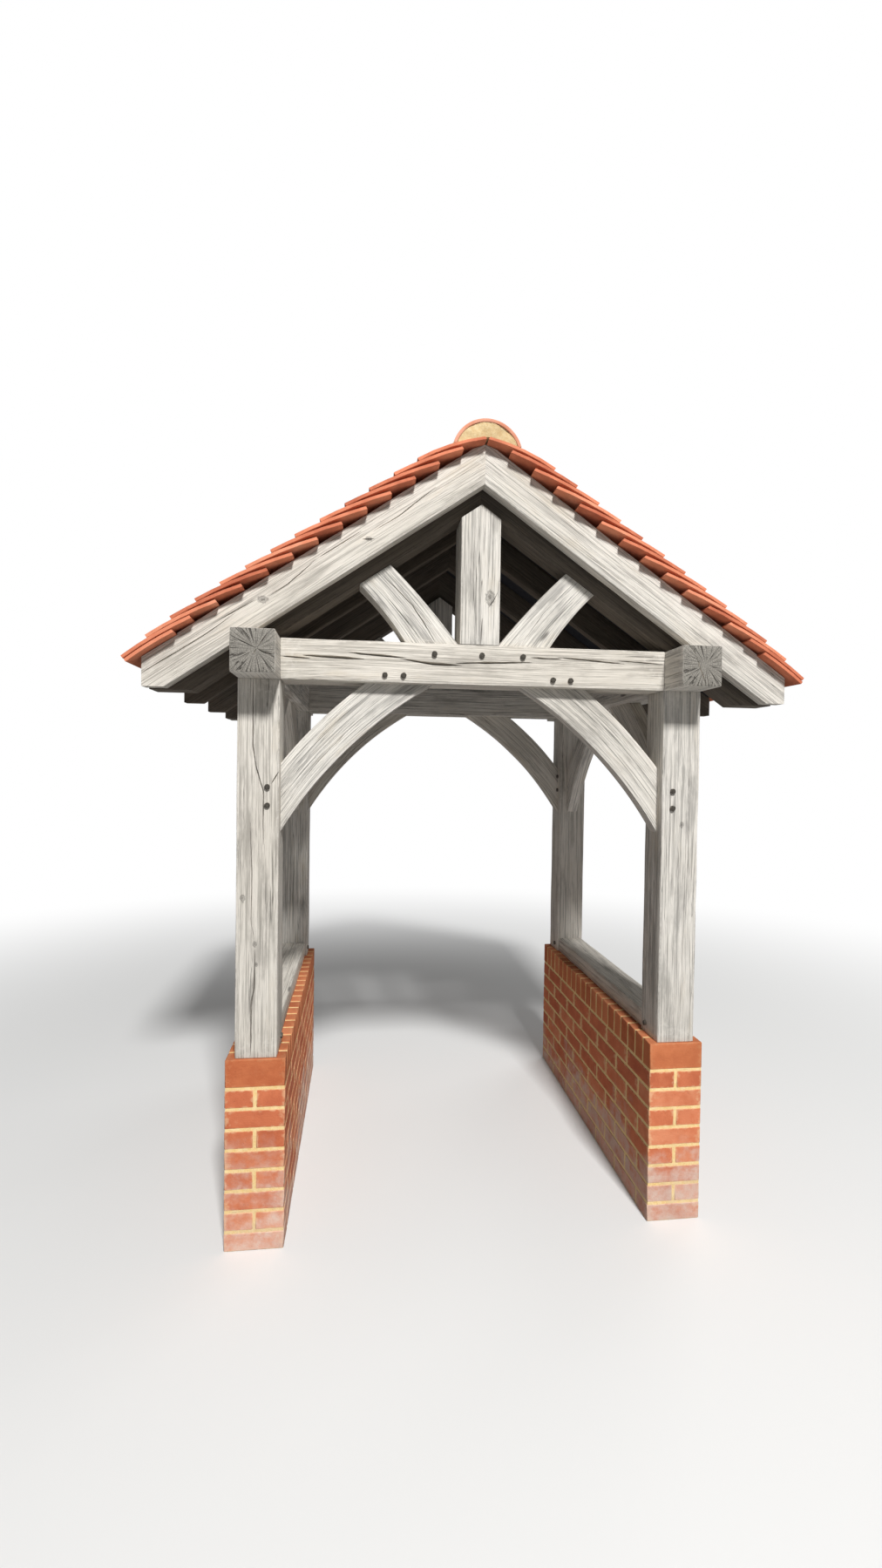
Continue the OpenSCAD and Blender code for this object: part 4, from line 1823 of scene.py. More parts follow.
@dataclass
class Bracing:
    """Arched braces between the posts and the beams.

    Attributes:
        drop: How far down the post a brace reaches.
        gable_run: How far along the tie beam it reaches.
        side_run: How far along the wall plate it reaches.
        radius: Radius of its hollow edge.
        width: Width between its edges.
        thickness: Thickness.
        spare: Angle that is sawn off at each end.
    """

    drop: float = 0.555
    gable_run: float = 0.560
    side_run: float = 0.555
    radius: float = 1.650
    width: float = 0.145
    thickness: float = 0.060
    spare: float = 0.04

    def build(self) -> None:
        """Makes the eight braces."""
        for end in End:
            for side in Side:
                self._brace(f"{end.word}_{side.word}_brace",
                            spot(side, end, GATE.inner_x, GATE.post_y, GATE.beam),
                            side.out, end.out, self.gable_run, "oak_gable_brace")
                self._brace(f"{side.word}_{end.word}_side_brace",
                            spot(side, end, GATE.post_x, GATE.inner_y, GATE.beam),
                            end.out, side.out, self.side_run, "oak_side_brace")

    def _brace(self, name: str, corner: Vector, across: Vector, out: Vector, run: float,
               slot: str) -> None:
        """Makes one brace.

        Args:
            name: Name of the CAD node.
            corner: Corner under the beam at the post.
            across: Direction from the opening to the post.
            out: Direction of the front face.
            run: How far along the beam it reaches.
            slot: Material slot.
        """
        centre = arc_centre(Vector((-run, 0)), Vector((0, -self.drop)), self.radius)
        first = math.atan2(-self.drop - centre.y, -centre.x) - self.spare
        last = math.atan2(-centre.y, -run - centre.x) + self.spare
        middle = self.radius + self.width / 2
        shakes = [Shake(Face.FRONT, ((0.20, -0.030), (0.66, -0.022)), 0.0014, 0.012, 0.004),
                  Shake(Face.FRONT, ((0.45, 0.030), (0.86, 0.026)), 0.0012, 0.010, 0.004)]
        Timber(name, Vector(((last - first) * middle, self.width, self.thickness)),
               Arched(corner, across, out, centre, middle, first), shakes,
               [(corner, across), (corner, UP)], chance_shakes=2, seed=5).deliver(slot)


@dataclass
class GableTruss:
    """King post, curved struts and barge rafters of one gable.

    Attributes:
        end: Gable.
        feet: Distances of a strut's inner and outer foot from the middle.
        heads: The same of its head.
        radii: Radii of its inner and outer edge.
        thickness: Thickness of a strut.
        block: Width of the block that a strut is bent from.
    """

    end: End
    feet: tuple[float, float] = (0.075, 0.275)
    heads: tuple[float, float] = (0.336, 0.450)
    radii: tuple[float, float] = (2.900, 1.120)
    thickness: float = 0.100
    block: float = 0.150

    def build(self) -> None:
        """Makes the timbers of the gable."""
        self._king_post()
        for side in Side:
            self._strut(side)
            self._barge_rafter(side)

    def _king_post(self) -> None:
        """Makes the king post with its pointed head."""
        peak = Vector((0, 0, ROOF.low(0, ROOF.truss_depth)))
        size = Vector((peak.z - GATE.top + 0.01, GATE.square, GATE.square))
        place = Straight(Vector((0, self.end.value * GATE.post_y, GATE.top)), UP, ACROSS,
                         self.end.out)
        cuts = [(peak, Vector((side.value * math.sin(ROOF.pitch), 0, math.cos(ROOF.pitch))))
                for side in Side]
        shakes = [Shake(Face.FRONT, ((0.003, 0.004), (0.10, 0.008)), 0.0042, 0.02),
                  Shake(Face.FRONT, ((0.14, 0.030), (0.17, 0.052), (0.20, 0.066)), 0.003),
                  Shake(Face.FRONT, ((0.22, -0.030), (0.48, -0.024)), 0.0012, 0.010)]
        Timber(f"{self.end.word}_king_post", size, place, shakes, cuts,
               seed=6).deliver("oak_upright")

    def _strut(self, side: Side) -> None:
        """Makes one curved strut with two long cracks.

        Args:
            side: Side of the gate.
        """
        arcs = [(Vector((foot, GATE.top)), Vector((head, ROOF.low(head, ROOF.truss_depth))),
                 radius) for foot, head, radius in zip(self.feet, self.heads, self.radii)]
        length = (arcs[0][1] - arcs[0][0]).length
        place = Tapered(*arcs, length, self.block, side, self.end.value * GATE.post_y,
                        self.end.value)
        width = 0.0052 if side is Side.LEFT else 0.0016
        shakes = [Shake(Face.FRONT, ((0.01, 0.012), (0.20, 0.026), (0.37, 0.020)), width,
                        0.018, 0.004),
                  Shake(Face.FRONT, ((0.02, -0.026), (0.30, -0.030)), width * 0.8, 0.016,
                        0.004)]
        Timber(f"{self.end.word}_{side.word}_strut", Vector((length, self.block,
                                                             self.thickness)),
               place, shakes, chance_shakes=1, seed=7).deliver("oak_strut")

    def _barge_rafter(self, side: Side) -> None:
        """Makes one barge rafter.

        Args:
            side: Slope of the roof.
        """
        shakes = [Shake(Face.FRONT, ((0.30, -0.020), (0.60, -0.012)), 0.0012, 0.01)]
        if side is Side.LEFT:
            shakes = [Shake(Face.FRONT, run, 0.0050, 0.020) for run in (
                ((0.078, 0.013), (0.34, 0.010), (0.457, 0.016)),
                ((0.407, 0.026), (0.54, 0.019)),
                ((0.587, 0.006), (0.66, 0.005), (0.74, 0.017), (0.797, 0.027)),
                ((0.815, 0.027), (0.99, 0.026)), ((0.978, 0.001), (1.015, -0.021)),
                ((1.025, 0.004), (1.136, 0.002), (1.306, 0.019)))]
        inner, outer = GATE.barge
        make_rafter(f"{self.end.word}_{side.word}_barge_rafter", side,
                    self.end.value * (inner + outer) / 2, outer - inner, self.end.value,
                    ROOF.depth, COURSES.head_rise,
                    shakes).deliver(f"oak_{side.word}_rafter")


def make_rafter(name: str, side: Side, middle: float, thickness: float, out: int,
                depth: float, rise: float = 0.0, shakes: Sequence[Shake] = ()) -> Timber:
    """Plans a rafter with its apex, foot and birdsmouth cuts.

    Args:
        name: Name of the piece.
        side: Slope of the roof.
        middle: Y of its middle.
        thickness: Thickness.
        out: Direction of its front face along Y.
        depth: Depth below the common line of the rafters' tops.
        rise: Height above that line.
        shakes: Cracks.

    Returns:
        The rafter.
    """
    begin, spare, beyond, inward, down = -0.06, 0.02, 0.5, 0.130, 0.3325
    centre, sign = (rise - depth) / 2, side.value
    x, z = ROOF.point(begin, centre)
    sine, cosine = math.sin(ROOF.pitch), math.cos(ROOF.pitch)
    place = Straight(Vector((sign * x, middle, z)), Vector((-sign * cosine, 0, sine)),
                     Vector((sign * sine, 0, cosine)), Vector((0, out, 0)))
    foot_low = ROOF.low(ROOF.foot_x, ROOF.depth) + ROOF.foot_cut
    cuts = [(Vector((0, 0, 0)), -side.out), (side.out * ROOF.foot_x, side.out),
            (Vector((0, 0, foot_low)), -UP)]
    rebates = []
    if rise:
        over = COURSES.eaves_head - centre
        stop = COURSES.eaves_length + COURSES.eaves_gap - begin
        rebates = [(Vector((-beyond, over, -thickness)), Vector((stop, beyond, thickness)))]
        top_head = COURSES.tail(COURSES.last) + COURSES.top_length
        first = ROOF.point(top_head - COURSES.barge_drop, rise)
        last = ROOF.point(top_head, COURSES.top_seat)
        fall = Vector((sign * (last[0] - first[0]), 0, last[1] - first[1]))
        waste = Vector((-fall.z, 0, fall.x)) * (-1 if fall.x < 0 else 1)
        cuts.append((Vector((sign * first[0], 0, first[1])), waste.normalized()))
    near, far = sorted((sign * (GATE.inner_x - inward), sign * GATE.outer_x))
    notch = (Vector((near, middle - thickness, GATE.top - down)),
             Vector((far, middle + thickness, GATE.top)))
    return Timber(name, Vector((ROOF.length - begin + spare, depth + rise, thickness)), place,
                  shakes, cuts, [notch], rebates, chance_shakes=2, seed=8)


@dataclass
class RoofTimbers:
    """Truss rafters, common rafters, battens and the lining.

    Attributes:
        truss_thickness: Thickness of the truss rafters.
        common_y: Y of the common rafters.
        common_thickness: Thickness of the common rafters.
        sag: How far the lining sags for each metre between rafters.
        sheet: Thickness of the lining.
    """

    truss_thickness: float = 0.100
    common_y: tuple[float, float] = (-0.220, 0.220)
    common_thickness: float = 0.050
    sag: float = 0.03
    sheet: float = 0.0008

    def build(self) -> None:
        """Makes the rafters and finishes the battens of the CAD model."""
        for side in Side:
            name = f"{side.word}_rafters"
            rafters = [make_rafter(f"{name}_truss{end.value}", side,
                                   end.value * GATE.post_y, self.truss_thickness,
                                   end.value, ROOF.truss_depth).build() for end in End]
            rafters += [make_rafter(f"{name}_common{i}", side, y, self.common_thickness, -1,
                                    ROOF.depth).build() for i, y in enumerate(self.common_y)]
            # The rafters take the darker oak, whose colour is painted shade under the roof.
            hand_over(Bench.join(rafters, f"{name}_dressed"), SHADED_OAK,
                      f"oak_{side.word}_rafter", name)
            self._battens(side)
            self._lining(side)

    def _lining(self, side: Side) -> None:
        """Makes the thin dark lining that sags between the rafters, under the battens.

        Args:
            side: Slope of the roof.
        """
        truss, common = self.truss_thickness / 2, self.common_thickness / 2
        outer, middle, inner = GATE.barge[0], GATE.post_y, self.common_y[1]
        begin, stop = 0.050, ROOF.length - 0.003
        sheets = []
        for low, high in ((-outer, -middle - truss), (truss - middle, -inner - common),
                          (common - inner, inner - common), (inner + common, middle - truss),
                          (middle + truss, outer)):
            piece = Bench.block("lining", (begin, low, -self.sheet), (stop, high, 0.0))
            Bench.divide(piece, {0: 24, 1: 7})

            def hang(point: Vector) -> Vector:
                """Lets one point sag between the rafters and sets it on the slope.

            Args:
                point: Place on the flat sheet.

            Returns:
                Its place in the gate.
            """
                across = 2 * (point.y - low) / (high - low) - 1
                wave = 0.7 + 0.6 * noise.noise((point.x * 2.6, point.y * 5, low * 9))
                sag = self.sag * (high - low) * (1 - across * across) * max(wave, 0.2)
                x, z = ROOF.point(point.x, point.z - (sag + 0.0004))
                return Vector((side.value * x, point.y, z))

            sheets.append(Bench.reshape(piece, hang))
        hand_over(Bench.join(sheets, f"{side.word}_roof_lining", 50), LINING, "sawn_batten")

    @staticmethod
    def _battens(side: Side) -> None:
        """Makes worn copies of the battens.

        Args:
            side: Slope of the roof.
        """
        node = f"{side.word}_battens"
        battens = Bench.copy(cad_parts[node], f"{node}_dressed")
        Bench.edit(battens, whole=True)
        bpy.ops.mesh.remove_doubles(threshold=NEAR)
        bpy.ops.mesh.dissolve_limited(angle_limit=math.radians(2))
        Bench.close()
        Bench.modify(battens, "BEVEL", width=0.0015, segments=1)
        Bench.divide(battens, {1: 24})
        chance = random.Random(node)
        lift = Vector([chance.uniform(0, 9) for _ in range(3)])
        Bench.reshape(battens,
                      lambda point: point + 0.0006 * noise.noise_vector(point * 4 + lift))
        low, high = (Vector(corner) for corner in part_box(node))
        write_pattern(battens, high - low, (high + low) / 2, chance, 1)
        Bench.finish(battens, 40)
        hand_over(battens, SAWN_SOFTWOOD, "sawn_batten", node)


@dataclass
class TileCovering:
    """Plain tiles of one slope, laid to a broken bond.

    Attributes:
        side: Slope.
        across: Tiles in a course.
        gap: Gap between two tiles.
        rim: Width of the bevel round a tile.
        skew: How far a tile is laid askew.
        slide: How far it has slid up.
        droop: How far its tail hangs.
    """

    side: Side
    across: int = 10
    gap: float = 0.0024
    rim: float = 0.0012
    skew: float = 0.0016
    slide: float = 0.004
    droop: float = 0.0014

    def build(self) -> None:
        """Lays the eaves tiles and the courses."""
        chance = random.Random(f"tiles{self.side.word}")
        tiles = []
        for course in range(-1, COURSES.last + 1):
            pattern = self._pattern(COURSES.tile_length(course))
            tiles += [self._lay(pattern, course, low, high, chance)
                      for low, high in self._widths(course)]
            bpy.data.objects.remove(pattern)
        name = f"{self.side.word}_tiles"
        hand_over(Bench.join(tiles, f"{name}_laid", 40), CLAY_TILE, "clay_tile", name)

    def _pattern(self, length: float) -> Piece:
        """Models one tile, flat and of unit width.

        Args:
            length: Length of the tile.

        Returns:
            The tile: X up the slope from its tail, Y across it, Z above its underside.
        """
        piece = Bench.block("tile_pattern", (0, -0.5, 0), (length, 0.5, COURSES.thick))
        Bench.divide(piece, {0: 3})
        Bench.bevel(piece, self.rim, lambda middle, way: abs(way.z) < 0.5 and (
            abs(abs(middle.y) - 0.5) < NEAR or not NEAR <= middle.x <= length - NEAR),
            segments=1)
        return piece

    def _widths(self, course: int) -> Iterable[tuple[float, float]]:
        """Lists the tiles of a course from the front.

        Args:
            course: Number of the course.

        Yields:
            Start and stop along the eaves.
        """
        unit, place = 2 * GATE.verge / self.across, -GATE.verge
        end = 1.5 if course % 2 else 1.0
        for share in [end, *[1.0] * int(self.across - 2 * end), end]:
            stop = place + share * unit
            low = place if place < -GATE.verge + NEAR else place + self.gap / 2
            high = stop if stop > GATE.verge - NEAR else stop - self.gap / 2
            yield low, high
            place = stop

    def _lay(self, pattern: Piece, course: int, low: float, high: float,
             chance: random.Random) -> Piece:
        """Copies a tile, bows it and lays it.

        Args:
            pattern: Tile to copy.
            course: Number of the course.
            low, high: Start and stop along the eaves.
            chance: Source of the unevenness.

        Returns:
            The laid tile.
        """
        piece = Bench.copy(pattern, "tile")
        length, width, middle = COURSES.tile_length(course), high - low, (low + high) / 2
        at_verge = min(low + GATE.verge, GATE.verge - high) < NEAR
        skew = chance.uniform(-self.skew, self.skew) * (0.3 if at_verge else 1.0)
        slide, droop = chance.uniform(0.0, self.slide), chance.uniform(0.0, self.droop)

        def narrow(point: Vector) -> Vector:
            """Gives the unit tile its width without stretching its bevels."""
            edge = width / 2 - (self.rim if 0.5 - abs(point.y) > NEAR else 0.0)
            return Vector((point.x, math.copysign(edge, point.y), point.z))

        Bench.reshape(piece, narrow)
        write_pattern(piece, Vector((length, width, COURSES.thick)),
                      Vector((length / 2, 0, COURSES.thick / 2)), chance)

        def bow(point: Vector) -> Vector:
            """Bows the tile along its length and sets it on the slope.

            Args:
                point: Place on the flat tile.

            Returns:
                Its place in the gate.
            """
            up = clamp(point.x, 0.0, length)
            lift = COURSES.under(course, up) + point.z
            lift -= droop * (1 - (up / length))
            place = COURSES.tail(course) + up + (slide if up < length * 0.9 else 0.0)
            place += skew * (point.y / width) * 2
            x, z = ROOF.point(max(place, 0.0), lift)
            return Vector((self.side.value * x,
                           clamp(middle + point.y, -GATE.verge, GATE.verge), z))

        return Bench.reshape(piece, bow)


@dataclass
class Ridge:
    """Half-round ridge tiles in their mortar.

    Attributes:
        radius: Outer radius.
        rise: Height from the edges to the crown.
        thickness: Thickness of the clay.
        bed: Thickness of the mortar under the edges.
        count: Number of ridge tiles.
        joint: Joint between two of them.
        plug: Depth of the mortar in each end.
        bed_width: Width of the mortar under each edge.
        steps: Steps of the mesh round a tile.
    """

    radius: float = 0.129
    rise: float = 0.093
    thickness: float = 0.012
    bed: float = 0.0034
    count: int = 4
    joint: float = 0.006
    plug: float = 0.060
    bed_width: float = 0.044
    steps: int = 30

    @property
    def half_width(self) -> float:
        """Half of the width between the edges."""
        return math.sqrt(self.radius ** 2 - (self.radius - self.rise) ** 2)

    @property
    def edge(self) -> float:
        """Height of the edges."""
        return COURSES.top_surface(self.half_width) + self.bed

    @property
    def centre(self) -> float:
        """Height of the half-round's centre."""
        return self.edge + self.rise - self.radius

    @property
    def length(self) -> float:
        """Length of one ridge tile."""
        return (2 * GATE.verge - (self.count - 1) * self.joint) / self.count

    def start(self, number: int) -> float:
        """Gives Y where a ridge tile begins."""
        return -GATE.verge + number * (self.length + self.joint)

    def build(self) -> None:
        """Makes the tiles and the mortar."""
        chance = random.Random("ridge")
        pattern = self._half_round(self.radius - self.thickness, self.radius, self.length)
        Bench.divide(pattern, {1: 5})
        size = Vector((2 * self.radius, self.length, 2 * self.radius))
        tiles = []
        for number in range(self.count):
            piece = Bench.copy(pattern, "ridge_tile")
            write_pattern(piece, size, Vector((0, 0, 0)), chance, 1)
            tiles.append(self._settle(piece, self.start(number), chance))
        bpy.data.objects.remove(pattern)
        tile = Bench.join(tiles, "ridge_tiles_laid")
        Bench.modify(tile, "BEVEL", width=0.0016, segments=2, limit_method="ANGLE",
                     angle_limit=math.radians(50))
        Bench.finish(tile, 40)
        hand_over(tile, RIDGE_CLAY, "ridge_clay", "ridge_tiles")
        self._mortar(chance)

    def _half_round(self, inner: float, outer: float, length: float) -> Piece:
        """Spins a section into a half-round that starts at Y 0.

        Args:
            inner, outer: Radii.
            length: Length along Y.

        Returns:
            The half-round.
        """
        low = math.asin((self.edge - self.centre) / self.radius)
        bpy.ops.object.select_all(action="DESELECT")
        bpy.ops.mesh.primitive_plane_add(size=1, location=(
            (inner + outer) / 2, length / 2, 0))
        bpy.context.active_object.scale = (outer - inner, length, 1)
        piece, turn = Bench.adopt("half_round"), Matrix.Rotation(-low, 3, "Y")
        Bench.reshape(piece, lambda point: turn @ point)
        Bench.edit(piece, "FACE", whole=True)
        bpy.ops.mesh.spin(steps=self.steps, angle=math.pi - 2 * low, center=(0, 0, 0),
                          axis=(0, 1, 0))
        bpy.ops.mesh.select_all(action="SELECT")
        bpy.ops.mesh.remove_doubles(threshold=NEAR / 10)
        Bench.close()
        return piece

    def _settle(self, piece: Piece, start: float, chance: random.Random) -> Piece:
        """Sets a ridge tile in its place, a little uneven.

        Args:
            piece: The tile, around the origin.
            start: Y where it begins.
            chance: Source of the unevenness.

        Returns:
            The same tile.
        """
        seed, dip = chance.uniform(0, 99), chance.uniform(0.0, 0.0016)
        centre, lowest = self.centre, self.edge - 0.002

        def bed_down(point: Vector) -> Vector:
            """Moves one vertex.

            Args:
                point: Its place.

            Returns:
                Its new place.
            """
            dent = 0.0008 * (noise.noise((point.x * 9, point.y * 6, seed)) - 0.3)
            outward = Vector((point.x, 0, point.z)).normalized()
            moved = point + outward * min(dent, 0.0)
            return Vector((moved.x, min(moved.y + start, GATE.verge),
                           max(moved.z + centre - dip, lowest)))

        return Bench.reshape(piece, bed_down)

    def _mortar(self, chance: random.Random) -> None:
        """Makes the plugs in the ends, the beds under the edges and the joints.

        Args:
            chance: Source of the unevenness.
        """
        parts = [self._plug(end, chance) for end in End]
        parts += [self._bed(side, chance) for side in Side]
        for number in range(1, self.count):
            joint = self._half_round(self.radius - self.thickness - 0.004,
                                     self.radius - 0.0015, self.joint + 0.004)
            shift = Vector((0, self.start(number) - self.joint - 0.002, self.centre))
            parts.append(Bench.reshape(joint, lambda point: point + shift))
        hand_over(Bench.join(parts, "ridge_mortar_laid", 50), RIDGE_MORTAR, "mortar",
                  "ridge_mortar")

    def _plug(self, end: End, chance: random.Random) -> Piece:
        """Makes the rough mortar that closes one end of the ridge.

        Args:
            end: Gable.
            chance: Source of the unevenness.

        Returns:
            The plug.
        """
        inner = self.radius - self.thickness + 0.0005
        piece = Bench.block("ridge_plug", (-1, 0, 0), (1, 1, 1))
        Bench.divide(piece, {0: 40, 2: 16, 1: 3})
        seed, centre = chance.uniform(0, 99), self.centre
        reach = math.sqrt(inner ** 2 - (self.edge - centre) ** 2)

        def fill(point: Vector) -> Vector:
            """Moves a point of the unit block into the half-round.

            Args:
                point: Place in the unit block.

            Returns:
                Its place in the gate.
            """
            x = point.x * reach
            low = COURSES.top_surface(max(abs(x), 0.0095)) - 0.001
            high = centre + math.sqrt(max(inner ** 2 - x * x, 0.0))
            z = low + point.z * (high - low)
            face = 0.0015 + 0.004 * (0.5 + noise.noise((x * 28, z * 28, seed)))
            face += 0.002 * abs(noise.noise((x * 90, z * 90, seed + 5)))
            depth = face + point.y * (self.plug - face)
            return Vector((x, end.value * (GATE.verge - depth), z))

        return Bench.reshape(piece, fill)

    def _bed(self, side: Side, chance: random.Random) -> Piece:
        """Makes the mortar under one edge of the ridge tiles.

        Args:
            side: Slope.
            chance: Source of the unevenness.

        Returns:
            The bed.
        """
        piece = Bench.block("ridge_bed", (0, -1, 0), (1, 1, 1))
        Bench.divide(piece, {1: 90, 0: 4, 2: 1})
        seed, edge = chance.uniform(0, 99), self.edge

        def squeeze(point: Vector) -> Vector:
            """Moves a point of the unit block under the tile's edge.

            Args:
                point: Place in the unit block.

            Returns:
                Its place in the gate.
            """
            y = point.y * (GATE.verge - 0.002)
            ooze = 0.004 * noise.noise((y * 17, seed, point.z))
            outer = self.half_width - 0.001 + max(ooze, -0.003)
            x = outer - point.x * self.bed_width
            low = COURSES.top_surface(x) - 0.001
            return Vector((side.value * x, y, low + point.z * (edge + 0.001 - low)))

        return Bench.reshape(piece, squeeze)


@dataclass
class Pegs:
    """Cleft oak pegs that hold the joints, proud of the faces.

    Attributes:
        radius: Radius of a peg.
        proud: How far a peg stands out.
        sunk: How far it is modelled inside the timber.
        gable: X and Z of the pegs in a gable's face.
        side_y: Distance from the middle of the pegs in the posts' sides.
        rail_z: Height of the pegs of the sill rails.
        side_z: Heights of the pegs of the side braces.
    """

    radius: float = 0.0105
    proud: float = 0.010
    sunk: float = 0.010
    gable: tuple[tuple[float, float], ...] = (
        (-0.170, 2.1925), (0.009, 2.1925), (0.166, 2.1925), (-0.353, 2.1085),
        (-0.284, 2.1085), (0.353, 2.1085), (0.284, 2.1085), (-0.772, 1.6915),
        (-0.772, 1.6245), (0.772, 1.6915), (0.772, 1.6245))
    side_y: float = 0.627
    rail_z: float = 0.740
    side_z: tuple[float, float] = (1.735, 1.655)

    def build(self) -> None:
        """Makes all the pegs as one piece."""
        chance = random.Random("pegs")
        pattern = self._pattern()
        face_y = GATE.post_y + GATE.square / 2
        places = []
        for end in End:
            places += [(Vector((x, end.value * face_y, z)), end.out) for x, z in self.gable]
            for side in Side:
                inward = Vector((-side.value, 0, 0))
                places.append((spot(side, end, GATE.inner_x, self.side_y, self.rail_z),
                               inward))
                for z in self.side_z:
                    places += [(spot(side, end, GATE.inner_x, self.side_y, z), inward),
                               (spot(side, end, GATE.outer_x, self.side_y, z), side.out)]
        pegs = [self._drive(pattern, place, out, chance) for place, out in places]
        bpy.data.objects.remove(pattern)
        hand_over(Bench.join(pegs, "oak_pegs", 40), PEG_OAK, "oak_upright")

    def _pattern(self) -> Piece:
        """Models one peg along X with a rounded head.

        Returns:
            The peg, with the timber's face at X 0.
        """
        bpy.ops.object.select_all(action="DESELECT")
        bpy.ops.mesh.primitive_cylinder_add(
            vertices=12, radius=self.radius, depth=self.proud + self.sunk,
            location=((self.proud - self.sunk) / 2, 0, 0), rotation=(0, math.pi / 2, 0))
        piece = Bench.adopt("peg_pattern")
        Bench.bevel(piece, 0.0018, lambda middle, way: middle.x > self.proud - NEAR
                    and abs(way.x) < 0.5)
        return piece

    def _drive(self, pattern: Piece, place: Vector, out: Vector,
               chance: random.Random) -> Piece:
        """Copies a peg and drives it in.

        Args:
            pattern: Peg to copy.
            place: Where it comes out.
            out: Direction in which it comes out.
            chance: Source of the unevenness.

        Returns:
            The peg.
        """
        piece = Bench.copy(pattern, "peg")
        size = Vector((self.proud + self.sunk, 2 * self.radius, 2 * self.radius))
        write_pattern(piece, size, Vector((0, 0, 0)), chance)
        seed, reach = chance.uniform(0, 99), chance.uniform(0.75, 1.1)
        turn = out.to_track_quat("X", "Z").to_matrix()

        def hew(point: Vector) -> Vector:
            """Makes the peg rough and sets it in its place.

            Args:
                point: Place on the straight peg.

            Returns:
                Its place in the gate.
            """
            swell = 1 + 0.16 * noise.noise((point.y * 120, point.z * 120, seed))
            length = point.x * reach if point.x > 0 else point.x
            length += 0.0012 * noise.noise((point.y * 200, point.z * 200, seed))
            return place + turn @ Vector((length, point.y * swell, point.z * swell))

        return Bench.reshape(piece, hew)


@dataclass(frozen=True)
class StudioFloor(Finish):
    """Pale floor that fades to white away from the gate and keeps its shadow.

    Attributes:
        pale: Colour that the camera sees.
        dim: Colour that lights the gate from below.
        fade: Distances from the middle between which it fades.
    """

    pale: Colour = (0.80, 0.80, 0.79, 1)
    dim: Colour = (0.36, 0.36, 0.36, 1)
    fade: tuple[float, float] = (2.2, 7.0)

    def dress(self, sheet: Sheet, shader: Sequence[Socket]) -> None:
        """Blends the floor into white.

        Args:
            sheet: Sheet of the material.
            shader: Inputs of its shader.
        """
        nodes, rays = sheet.tree.nodes, sheet.node("LightPath").outputs
        sheet.feed(shader["Base Color"], sheet.mix(rays["Is Diffuse Ray"], self.pale,
                                                   self.dim))
        shader["Roughness"].default_value = 0.9
        fade = sheet.times(sheet.span(sheet.length(sheet.place()), *self.fade),
                           rays["Is Camera Ray"])
        white = sheet.node("Emission", {0: (1, 1, 1, 1), 1: 1.0})
        blend = sheet.node("MixShader", {0: fade, 1: nodes["Principled BSDF"].outputs[0],
                                         2: white.outputs[0]})
        sheet.feed(nodes["Material Output"].inputs["Surface"], blend.outputs[0])


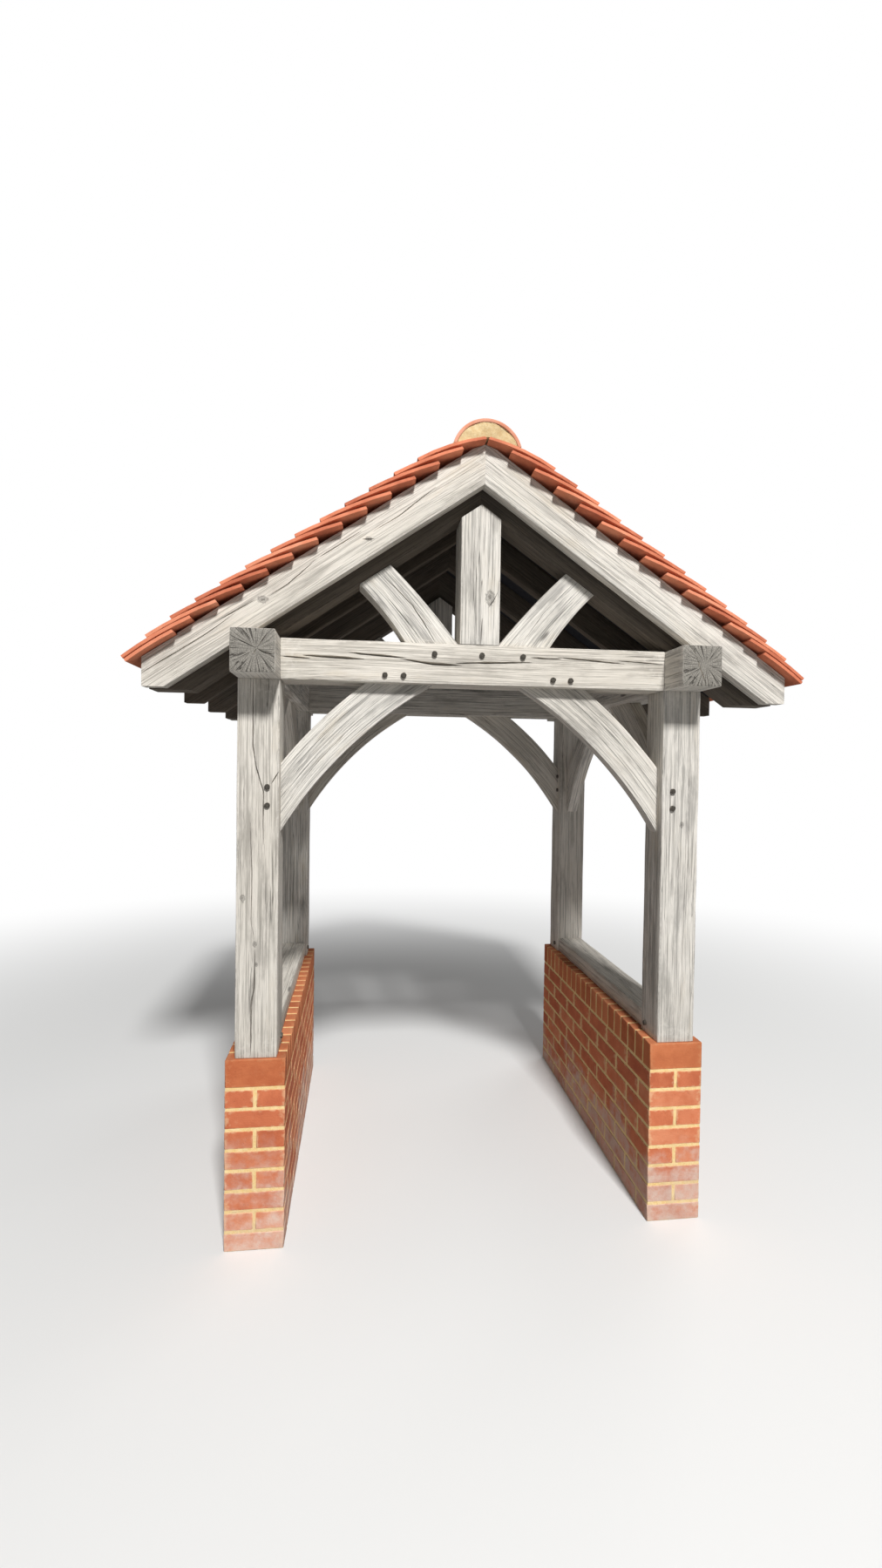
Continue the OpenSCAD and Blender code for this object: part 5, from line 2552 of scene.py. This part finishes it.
@dataclass(frozen=True)
class Studio:
    """Pale floor, soft light and the camera at the photograph's angle.

    Attributes:
        camera: Place of the camera.
        yaw: Turn to the right of straight ahead, in degrees.
        pitch: Tilt downwards, in degrees.
        roll: Roll, in degrees.
        lens: Focal length for a sensor of 36 mm.
        key: Brightness of a white face turned to the key light.
        sky: Strength of the light from all round.
        fill: Brightness of a white face turned to the fill light.
    """

    camera: tuple[float, float, float] = (-0.4351, -3.1603, 1.7567)
    yaw: float = 6.96
    pitch: float = 1.109
    roll: float = 0.8
    lens: float = 15.013
    key: float = 1.20
    sky: float = 0.17
    fill: float = 0.14

    def build(self) -> None:
        """Sets up the floor, the lights, the world and the camera."""
        self._floor()
        self._world()
        self._lamp("key_light", Vector((0.092, -0.730, 0.680)), 16.0, 1.9, self.key)
        self._lamp("fill_light", Vector((0.66, 0.56, 0.50)), 9.0, 4.0, self.fill)
        self._camera()
        bpy.context.scene.view_settings.view_transform = "Standard"

    @staticmethod
    def _floor() -> None:
        """Adds the floor."""
        bpy.ops.object.select_all(action="DESELECT")
        bpy.ops.mesh.primitive_plane_add(size=120, location=(0, 0, -0.0005))
        floor = Bench.adopt("floor")
        floor.data.materials.append(StudioFloor("floor").material())
        floor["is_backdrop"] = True

    def _world(self) -> None:
        """Lights the gate from all round, and shows white behind it."""
        world = bpy.context.scene.world = bpy.data.worlds.new("studio")
        world.use_nodes = True
        sheet = Sheet(world.node_tree)
        background = sheet.tree.nodes["Background"].inputs
        background["Color"].default_value = (1, 1, 1, 1)
        sheet.feed(background["Strength"], sheet.node("MapRange", {
            "Value": sheet.node("LightPath").outputs["Is Camera Ray"],
            "To Min": self.sky, "To Max": 1.0}).outputs[0])

    @staticmethod
    def _lamp(name: str, towards: Vector, distance: float, size: float,
              level: float) -> None:
        """Adds a square lamp that shines on the gate.

        Args:
            name: Name of the lamp.
            towards: Direction from the gate to the lamp.
            distance: Distance.
            size: Width of the lamp.
            level: Brightness of a white face turned to it.
        """
        light = bpy.data.lights.new(name, "AREA")
        light.size = size
        light.energy = level * math.pi ** 2 * distance ** 2
        lamp = bpy.data.objects.new(name, light)
        bpy.context.scene.collection.objects.link(lamp)
        lamp.location = Vector((0, 0, 1.5)) + towards.normalized() * distance
        lamp.rotation_euler = towards.to_track_quat("Z", "Y").to_euler()

    def _camera(self) -> None:
        """Adds the camera at the photograph's angle."""
        yaw, pitch, roll = (math.radians(a) for a in (self.yaw, self.pitch, self.roll))
        ahead = Vector((math.sin(yaw) * math.cos(pitch), math.cos(yaw) * math.cos(pitch),
                        -math.sin(pitch)))
        level = Vector((math.cos(yaw), -math.sin(yaw), 0))
        above = level.cross(ahead)
        right = math.cos(roll) * level + math.sin(roll) * above
        up = -math.sin(roll) * level + math.cos(roll) * above
        data = bpy.data.cameras.new("camera")
        data.lens, data.sensor_width, data.sensor_fit = self.lens, 36, "AUTO"
        camera = bpy.data.objects.new("camera", data)
        bpy.context.scene.collection.objects.link(camera)
        turn = Matrix((right, up, -ahead)).transposed()
        camera.matrix_world = Matrix.Translation(self.camera) @ turn.to_4x4()
        bpy.context.scene.camera = camera


def write_sizes() -> None:
    """Works out the CAD model's box and the dressed model's box as plain numbers."""
    boxes = {"cad": CAD_BOX, "visual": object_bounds()}
    plain = {key: [[float(v) for v in corner] for corner in box]
             for key, box in boxes.items()}


def main() -> None:
    """Builds the gate's pieces in order, then the studio."""
    logging.basicConfig(level=logging.INFO, format="%(message)s")
    bpy.ops.object.select_all(action="DESELECT")
    for side in Side:
        DwarfWall(side).build()
    PostFrame().build()
    Bracing().build()
    for end in End:
        GableTruss(end).build()
    RoofTimbers().build()
    for side in Side:
        TileCovering(side).build()
    Ridge().build()
    Pegs().build()
    Studio().build()
    write_sizes()


if __name__ == "__main__":
    main()
